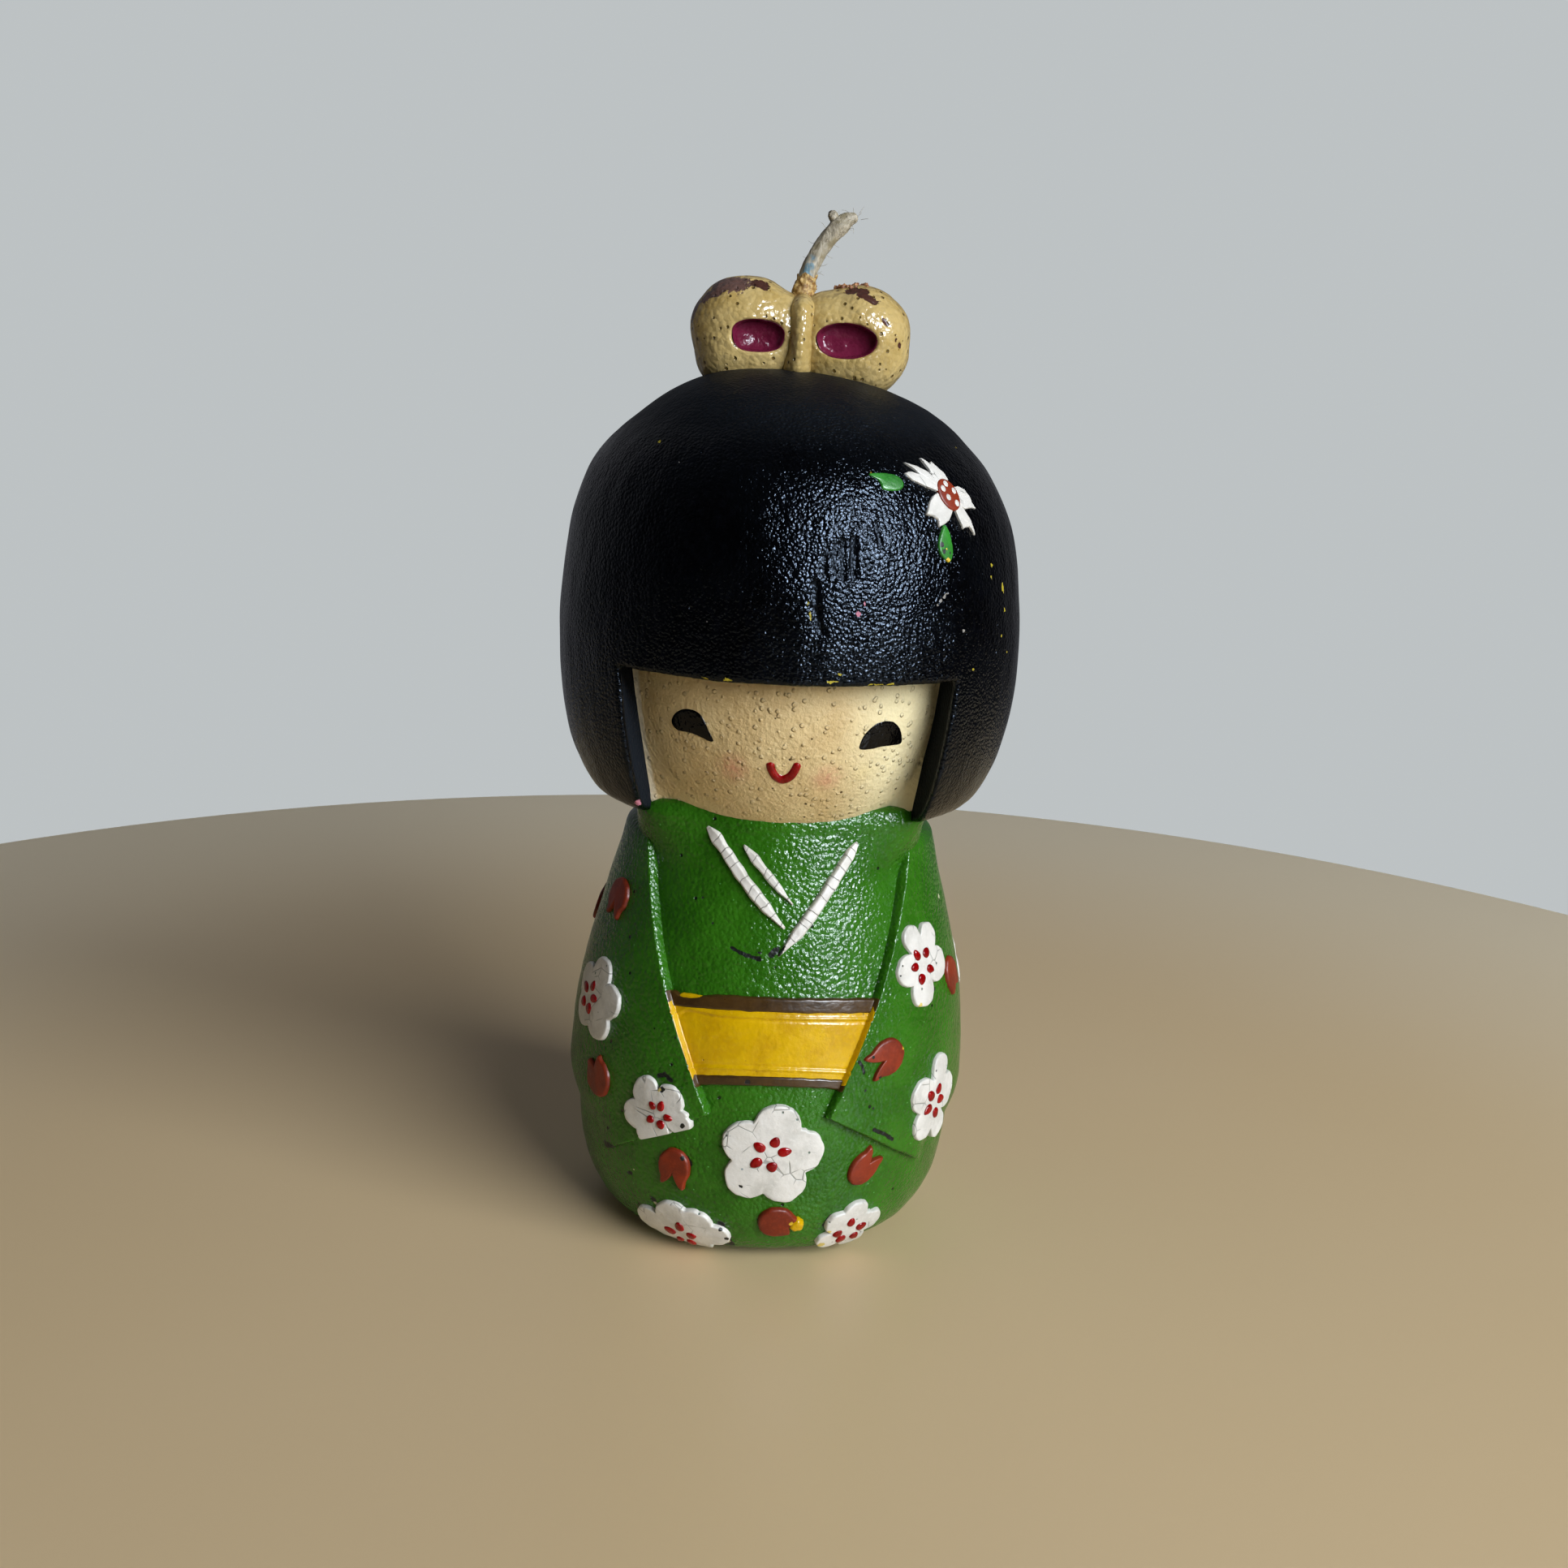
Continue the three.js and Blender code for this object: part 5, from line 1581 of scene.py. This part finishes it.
# Each blossom: its lobes, notches, its stamens' places or else their middle and turn, a straight cut
# as a direction and a distance, and its worn marks.
BLOSSOMS = {
    1: dict(
        lobes=[(84, 6.9, 3.1), (154, 6.8, 3.0), (-135, 7.1, 3.1), (-66, 6.9, 3.0), (11, 6.6, 3.1)],
        notches=[(38, 0.35, 5)],
        dots=[(-1.7, 1.4), (0.2, 2.1), (1.45, 0.8), (0.0, -1.3), (-2.0, -0.8)],
        chip=[((-3.7, -4.1), 0.9), ((-3.4, -3.0), 0.4)],
    ),
    2: dict(
        lobes=[(8, 4.8, 2.3), (-74, 5.4, 2.4), (100, 5.4, 2.4), (165, 6.6, 2.5), (-145, 6.4, 2.5)],
        heart=(-2.2, -0.4, 150),
        chip=[((-0.9, -0.3), 0.9)],
    ),
    3: dict(
        lobes=[(130, 4.7, 2.2), (52, 4.2, 2.3), (-14, 4.8, 1.6), (-100, 5.3, 2.4), (-158, 5.4, 2.0)],
        notches=[(92, 0.6, 8), (0, 0.4, 6)],
        cut=(-65, 3.2),
        dot_size=0.64,
        dots=[(-0.6, 0.65), (0.6, 0.85), (1.66, -0.45), (0.73, -1.58), (-0.77, -1.25)],
        chip=[((0.6, 3.0), 1.2), ((3.6, -1.0), 1.1), ((-2.6, -4.0), 0.6), ((1.9, 1.7), 0.5)],
        yellow=[((0.2, 2.9), 0.9)],
    ),
    4: dict(
        lobes=[
            (176, 7.2, 2.4),
            (112, 5.2, 2.6),
            (48, 5.3, 2.4),
            (8, 6.3, 2.0),
            (-140, 5.0, 2.3),
            (-60, 5.0, 2.3),
        ],
        heart=(-0.3, -0.5, 165),
        chip=[((5.2, 2.2), 1.0), ((5.9, 0.6), 1.0)],
    ),
    5: dict(
        lobes=[(138, 4.2, 2.0), (80, 4.8, 1.9), (18, 4.9, 1.8), (-148, 4.7, 1.8), (-60, 4.4, 2.0)],
        notches=[(56, 0.7, 9), (40, 0.5, 5), (178, 0.5, 10)],
        heart=(0.05, -0.1, 100),
        yellow=[((-3.4, -2.2), 1.6), ((-3.0, 0.6), 1.0)],
    ),
    6: dict(
        lobes=[(112, 5.7, 1.7), (62, 5.6, 2.0), (-13, 5.4, 2.4), (-100, 5.6, 2.1), (-174, 4.9, 2.1)],
        notches=[(88, 0.8, 8)],
        heart=(-0.5, -0.1, 115),
        chip=[((1.0, 2.2), 0.55), ((-4.0, 0.6), 0.5), ((-4.5, -0.6), 0.5)],
        yellow=[((-1.6, -5.0), 1.1)],
    ),
    7: dict(
        lobes=[(72, 6.1, 1.8), (155, 4.9, 2.4), (-120, 5.6, 2.2), (-73, 5.9, 1.8), (10, 5.2, 2.5)],
        notches=[(-95, 0.9, 10), (40, 0.5, 6)],
        heart=(-0.1, -0.3, 62),
    ),
    8: dict(lobes=regular_lobes(5.4, 60), heart=(0, 0, 60)),
    9: dict(lobes=regular_lobes(5.4, 120), heart=(0, 0, 130)),
    10: dict(lobes=regular_lobes(6.2, 90), heart=(0, 0, 90)),
    11: dict(lobes=regular_lobes(5.0, 70), heart=(0, 0, 75)),
}
ON_SLEEVE = {"blossom": (2, 3, 6, 7, 8, 9), "petal": (1, 2, 6, 7, 8, 9)}
BLOSSOM_HEIGHT = 0.6
PETAL_HEIGHT = 0.6
LOWEST_TRIM = 0.9  # trim stops this far along the outline above the base
STAMEN_ROOM = 0.6  # stamens keep this much above that


def cut_straight(rim, direction, distance):
    """The rim cut off by a straight line at a distance from its middle."""
    across = rim @ np.array([math.cos(math.radians(direction)), math.sin(math.radians(direction))])
    return rim * np.minimum(1, distance / np.maximum(across, 1e-6))[:, None]


def flat_bottom(rim, start):
    """The rim cut where it would go under the doll's base."""
    room = start - LOWEST_TRIM
    over = np.minimum(1, room / np.maximum(-rim[:, 1], 1e-6))
    return rim * np.where(rim[:, 1] < 0, over, 1)[:, None]


def spot_values(points, place, lift, details):
    """The chips and yellow spots on a decoration, given as places on it and widths."""
    values = {}
    for key in ("chip", "yellow"):
        spots = details.get(key, [])
        values[key] = marks(points, [([place(u, v, lift)], width) for (u, v), width in spots])
    return values


def regular_dots(u, v, turn):
    """Five stamens round the middle of a blossom, set by hand."""
    directions = np.radians(turn + 72 * np.arange(5) + RANDOM.normal(size=5) * 5)
    reach = 1.65 + RANDOM.normal(size=5) * 0.12
    return np.stack([u + reach * np.cos(directions), v + reach * np.sin(directions)], axis=-1).tolist()


def make_blossom(number, details):
    name = f"blossom_{number}"
    angle, start = hub(name, kimono)
    base = SLEEVE_LIFT - 0.1 if number in ON_SLEEVE["blossom"] else 0.0
    place = kimono.spot(angle, start)
    rim = lobed_rim(details["lobes"], details.get("notches", ()), seed=number)
    rim = cut_straight(rim, *details["cut"]) if "cut" in details else rim
    rim = flat_bottom(rim, start)
    mesh = patch(rim, place, BLOSSOM_HEIGHT, base, edge=0.26, dome=0.05, bumps=0.06, seed=number)
    values = spot_values(mesh[0], place, base + BLOSSOM_HEIGHT, details)
    add_piece(name + "_paint", mesh, WHITE, [name], values)
    dots = details.get("dots") or regular_dots(*details["heart"])
    middle_u, middle_v = np.mean(dots, axis=0)
    size = details.get("dot_size", 0.8)
    drops = []
    for cu, cv in dots:
        if cv < LOWEST_TRIM + STAMEN_ROOM - start:
            continue
        direction = math.atan2(cv - middle_v, cu - middle_u)
        long = size * RANDOM.uniform(0.85, 1.15)
        wide = 0.8 * size * RANDOM.uniform(0.85, 1.1)
        drop = circle(24) * (long, wide)
        drop[:, 1] *= 1 - 0.2 * drop[:, 0] / long
        drop = turned_by(drop, math.degrees(direction))
        there = shifted(place, cu, cv)
        drops.append(patch(drop, there, 0.22, base + BLOSSOM_HEIGHT, edge=0.25, sink=0.2, dome=0.08))
    add_piece(name + "_stamens", joined(drops), RED)


# Each loose petal: the way its notch points, its size, how deep the notch is, its worn marks, and
# the place and size of a drip of paint on it.
PETALS = {
    1: dict(turn=-92, radius=2.5, squeeze=1.05, notch=0.95),
    2: dict(turn=118, radius=2.6, squeeze=0.98, notch=0.5),
    3: dict(turn=-97, radius=2.65, squeeze=0.86, notch=0.85, chip=[((1.3, 1.7), 0.9)]),
    4: dict(
        turn=-20,
        radius=2.5,
        squeeze=0.95,
        notch=0.35,
        yellow=[((1.8, 0.2), 0.9)],
        drip=((2.55, -0.3), 0.95),
    ),
    5: dict(turn=46, radius=2.6, squeeze=0.78, notch=0.7, yellow=[((1.7, 1.1), 0.5)]),
    6: dict(
        turn=204,
        radius=2.6,
        squeeze=0.92,
        notch=1.0,
        chip=[((-2.3, 0.5), 0.8), ((-1.3, -2.2), 0.7)],
        yellow=[((-0.4, -2.6), 0.8), ((2.2, 0.8), 0.6), ((1.2, 2.3), 0.5)],
    ),
    7: dict(turn=-70, radius=2.6, squeeze=0.8, notch=0.4),
    8: dict(turn=140, radius=2.6, squeeze=0.85, notch=0.6),
    9: dict(turn=40, radius=2.6, squeeze=0.85, notch=0.6),
    10: dict(turn=-60, radius=2.6, squeeze=0.85, notch=0.6),
    11: dict(turn=100, radius=2.6, squeeze=0.85, notch=0.6),
}


def petal_rim(radius, turn, squeeze, notch, seed, count=90):
    """An egg with a wedge cut out of one end, which leaves two points."""
    off = np.linspace(-math.pi, math.pi, count, endpoint=False)
    long, wide = radius, radius * squeeze
    reach = 1 / np.hypot(np.cos(off) / long, np.sin(off) / wide)
    tips = 0.34 * notch * radius * np.exp(-(((np.abs(off) - 0.5) / 0.2) ** 2))
    wedge = notch * radius * 0.85 * np.maximum(0, 1 - np.abs(off) / 0.48)
    reach = np.maximum(reach + tips - wedge, 0.3 * radius)
    ring = turned_by(np.stack([np.cos(off), np.sin(off)], axis=-1), turn)
    return ring * (reach * (1 + 0.04 * flat_fuzz(ring * 3, 1.0, seed, seed * 2.3)))[:, None]


def make_petal(number, details):
    name = f"petal_{number}"
    angle, start = hub(name, kimono)
    base = SLEEVE_LIFT - 0.1 if number in ON_SLEEVE["petal"] else 0.0
    place = kimono.spot(angle, start)
    shape = {key: details[key] for key in ("radius", "turn", "squeeze", "notch")}
    rim = flat_bottom(petal_rim(seed=number, **shape), start)
    mesh = patch(rim, place, PETAL_HEIGHT, base, edge=0.35, dome=0.05, bumps=0.04, seed=number)
    values = spot_values(mesh[0], place, base + PETAL_HEIGHT, details)
    add_piece(name + "_paint", mesh, RED_BROWN, [name], values)
    if "drip" in details:
        (du, dv), size = details["drip"]
        rim = size * circle(40)
        rim *= (1 + 0.35 * flat_fuzz(rim, 0.9, 5))[:, None]
        there = shifted(place, du, dv)
        drip = patch(rim, there, 0.75, base, edge=0.4, dome=0.15, bumps=0.12, seed=5)
        add_piece(name + "_drip", drip, YELLOW)


# The hair flower's outline round its five brushed petals, whose ends are split.
FLOWER_RIM = [
    (1.75, -1.45), (2.5, -1.75), (3.6, -1.6), (4.7, -1.7), (4.3, -1.0), (4.2, -0.15), (3.6, 0.7),
    (2.55, 1.15), (1.3, 1.05), (0.7, 1.45), (1.0, 2.2), (0.75, 3.0), (0.1, 3.65), (-0.55, 4.5),
    (-1.0, 4.05), (-1.55, 4.7), (-2.2, 5.0), (-1.6, 3.3), (-1.6, 2.4), (-1.3, 1.9), (-2.2, 3.1),
    (-3.7, 3.75), (-5.3, 4.2), (-4.0, 3.15), (-3.5, 2.5), (-4.8, 2.9), (-5.9, 2.7), (-5.0, 1.8),
    (-3.0, 0.9), (-1.6, 0.45), (-1.65, 0.3), (-2.6, -0.15), (-3.55, -1.15), (-4.2, -2.4),
    (-3.3, -2.6), (-2.65, -3.0), (-2.7, -3.95), (-1.9, -3.65), (-1.0, -3.2), (0.05, -2.0),
    (0.45, -1.9), (0.75, -3.0), (1.2, -4.2), (1.75, -4.0), (2.4, -3.9), (3.2, -5.0), (3.0, -3.2),
    (2.2, -1.9),
]


def densified(points, steps):
    """A closed outline with straight sides, split into steps."""
    p = np.asarray(points, float)
    after = np.roll(p, -1, axis=0)
    t = np.linspace(0, 1, steps, endpoint=False)[:, None]
    return np.vstack([a + (b - a) * t for a, b in zip(p, after)])


def make_hair_flower():
    place = hair.spot(*hub("hair_flower", hair))
    rim = densified(FLOWER_RIM, 3)
    rim = rim * (1 + 0.03 * flat_fuzz(rim, 0.5, 90))[:, None]
    mesh = patch(rim, place, 0.3, 0.0, edge=0.25, dome=0.06, bumps=0.05, seed=91)
    add_piece("hair_flower_petals", mesh, WHITE, ["hair_flower"])
    oval = turned_by(circle(48) * (2.0, 1.65), 106)
    mesh = patch(oval, place, 0.16, 0.34, edge=0.25, sink=0.3, dome=0.1)
    add_piece("hair_flower_middle", mesh, RED_BROWN, ["hair_flower_centre"])
    dots = []
    for u, v in ((-0.14, 1.25), (-0.85, 0.65), (0.85, 0.38), (-0.42, -0.4), (0.75, -1.1)):
        there = shifted(place, u, v)
        dots.append(patch(circle(16) * (0.38, 0.42), there, 0.1, 0.52, edge=0.2, sink=0.1, dome=0.04))
    add_piece("hair_flower_dots", joined(dots), WHITE)


LEAF_RIMS = {
    "upper": [
        (2.05, -0.1), (1.7, 0.75), (0.7, 1.15), (-0.8, 1.25), (-2.3, 1.0), (-1.2, 0.2), (-0.9, -0.8),
        (0.3, -1.0), (1.5, -0.8),
    ],
    "lower": [
        (0.85, 0.2), (0.65, 1.4), (0.1, 2.2), (-0.5, 1.5), (-0.9, 0.9), (-1.3, 0.0), (-1.25, -1.1),
        (-0.6, -1.9), (0.0, -2.3), (0.55, -1.8), (0.85, -0.9),
    ],
}
LEAF_MARKS = {
    "chip": [((-0.9, -0.2), 0.9), ((-0.7, -1.0), 0.8), ((0.2, -1.2), 0.5)],
    "yellow": [((-0.2, -2.0), 0.9), ((-0.3, -0.7), 0.35)],
}


def make_leaves():
    for word, outline in LEAF_RIMS.items():
        node = f"hair_leaf_{word}"
        place = hair.spot(*hub(node, hair))
        rim = smooth_ring(outline, 8)
        mesh = patch(rim, place, 0.28, 0.0, edge=0.25, dome=0.05, bumps=0.03, seed=95)
        values = spot_values(mesh[0], place, 0.3, LEAF_MARKS if word == "lower" else {})
        add_piece(f"hair_leaf_{word}_paint", mesh, LEAF, [node], values)


# ================================================================ the face's paint
# Each eye: its middle across and up the face, and its outline round that.
EYES = {
    "left": dict(
        place=(-11.25, 70.95),
        rim=[
            (2.64, -1.62), (2.2, -0.6), (1.6, 0.6), (0.85, 1.65), (-0.2, 2.0), (-1.2, 1.88), (-2.1, 1.3),
            (-2.62, 0.4), (-2.5, -0.4), (-1.8, -0.92), (-0.2, -1.0), (1.2, -1.38), (2.2, -1.72),
        ],
    ),
    "right": dict(
        place=(11.7, 70.6),
        rim=[
            (2.66, -0.7), (2.5, 0.2), (2.1, 1.05), (1.3, 1.75), (0.2, 1.85), (-0.75, 1.6), (-1.65, 0.85),
            (-2.35, -0.2), (-2.62, -1.5), (-1.3, -1.62), (0.0, -1.42), (1.4, -1.35), (2.5, -1.25),
        ],
    ),
}
MOUTH_ROUTE = [
    (-1.6, 67.2), (-1.5, 66.4), (-0.9, 65.35), (-0.05, 64.95), (0.8, 65.35), (1.4, 66.3), (1.75, 67.3),
]


def make_face_paint():
    for word, eye in EYES.items():
        rim = smooth_ring(eye["rim"], 8)
        place = shifted(on_face, *eye["place"])
        mesh = patch(rim, place, 0.12, 0.0, edge=0.2, dome=0.04, bumps=0.03, seed=97)
        add_piece(f"eye_{word}_paint", mesh, INK, [f"eye_{word}"])
    line = smooth_line(MOUTH_ROUTE, 10)
    share = np.linspace(0, 1, len(line))
    width = 0.5 + 0.12 * np.sin(math.pi * share) + 0.06 * ease(share, 0.2, 0.0)
    width = width * rounded(np.minimum(share, 1 - share) / 0.07)
    place, across = ribbon(line, np.maximum(width, 0.03), 14)
    tall = 0.28 * rounded(np.minimum(share, 1 - share) / 0.05) + 0.15
    lift = -0.15 + tall * rounded(1 - np.abs(across))
    top = on_face(place[..., 0], place[..., 1], lift)
    bottom = on_face(place[..., 0], place[..., 1], np.full_like(lift, -0.35))
    add_piece("mouth_paint", slab(top, bottom), RED, ["mouth"])


# ================================================================ the stage
FLOOR_RADIUS = 252.0
# The window lights the doll from the right; its gleam on the paint has a light of its own.
LIGHTS = {
    "window": dict(
        azimuth=45,
        elevation=24,
        distance=0.85,
        size=(0.66, 0.52),
        power=9.3,
        colour=(0.95, 0.97, 1.0),
        glossy=False,
    ),
    "window_gloss": dict(
        azimuth=39,
        elevation=26,
        distance=0.85,
        size=(0.28, 0.32),
        power=17.5,
        colour=(0.82, 0.9, 1.0),
        diffuse=False,
    ),
    "left_fill": dict(
        azimuth=-100,
        elevation=20,
        distance=0.9,
        size=(0.6, 0.5),
        power=0.2,
        colour=(1.0, 0.82, 0.6),
        glossy=False,
    ),
    "back_fill": dict(
        azimuth=170,
        elevation=30,
        distance=0.95,
        size=(0.6, 0.4),
        power=0.5,
        colour=(0.97, 0.98, 1.0),
        glossy=False,
    ),
}


def floor_finish():
    """Plain pale cream near the doll, which turns to the backdrop's pale grey far away from it."""
    f = Finish("floor_pale")
    away = f.node("ShaderNodeVectorMath", {0: f.place}, operation="LENGTH").outputs["Value"]
    base = f.mix(f.between(away, 0.1, 0.25), colour("dfc597"), colour("efe1c2"))
    base = f.mix(f.times(f.noise(120, 2), 0.08), base, colour("ffffff"))
    return f.done(base, 0.4)


def make_floor():
    """A plain round floor."""
    x, y = circle(128).T * FLOOR_RADIUS * MM
    data = bpy.data.meshes.new("floor")
    data.from_pydata(stacked(x, y, 0).tolist(), [], [list(range(len(x)))])
    data.materials.append(floor_finish())
    floor = bpy.data.objects.new("floor", data)
    bpy.context.scene.collection.objects.link(floor)


make_camera()
make_world(backdrop=(0.51, 0.54, 0.55), side=(0.13, 0.133, 0.145), away=(0.01, 0.01, 0.011))
for light_name, light_details in LIGHTS.items():
    area_light(light_name, **light_details)
make_floor()
bpy.context.scene.view_settings.view_transform = "Standard"

make_kimono()
make_head()
make_hair()
for word, side in (("left", -1), ("right", 1)):
    make_lobe(word, side)
    make_recess(word, side)
    make_sleeve(word, side)
make_knot()
make_wick()
make_crust()
make_crumbs()
make_obi()
make_obi_back()
for collar_name, collar_details in COLLARS.items():
    make_collar(collar_name, *collar_details)
for blossom_number, blossom_details in BLOSSOMS.items():
    make_blossom(blossom_number, blossom_details)
for petal_number, petal_details in PETALS.items():
    make_petal(petal_number, petal_details)
make_hair_flower()
make_leaves()
make_face_paint()
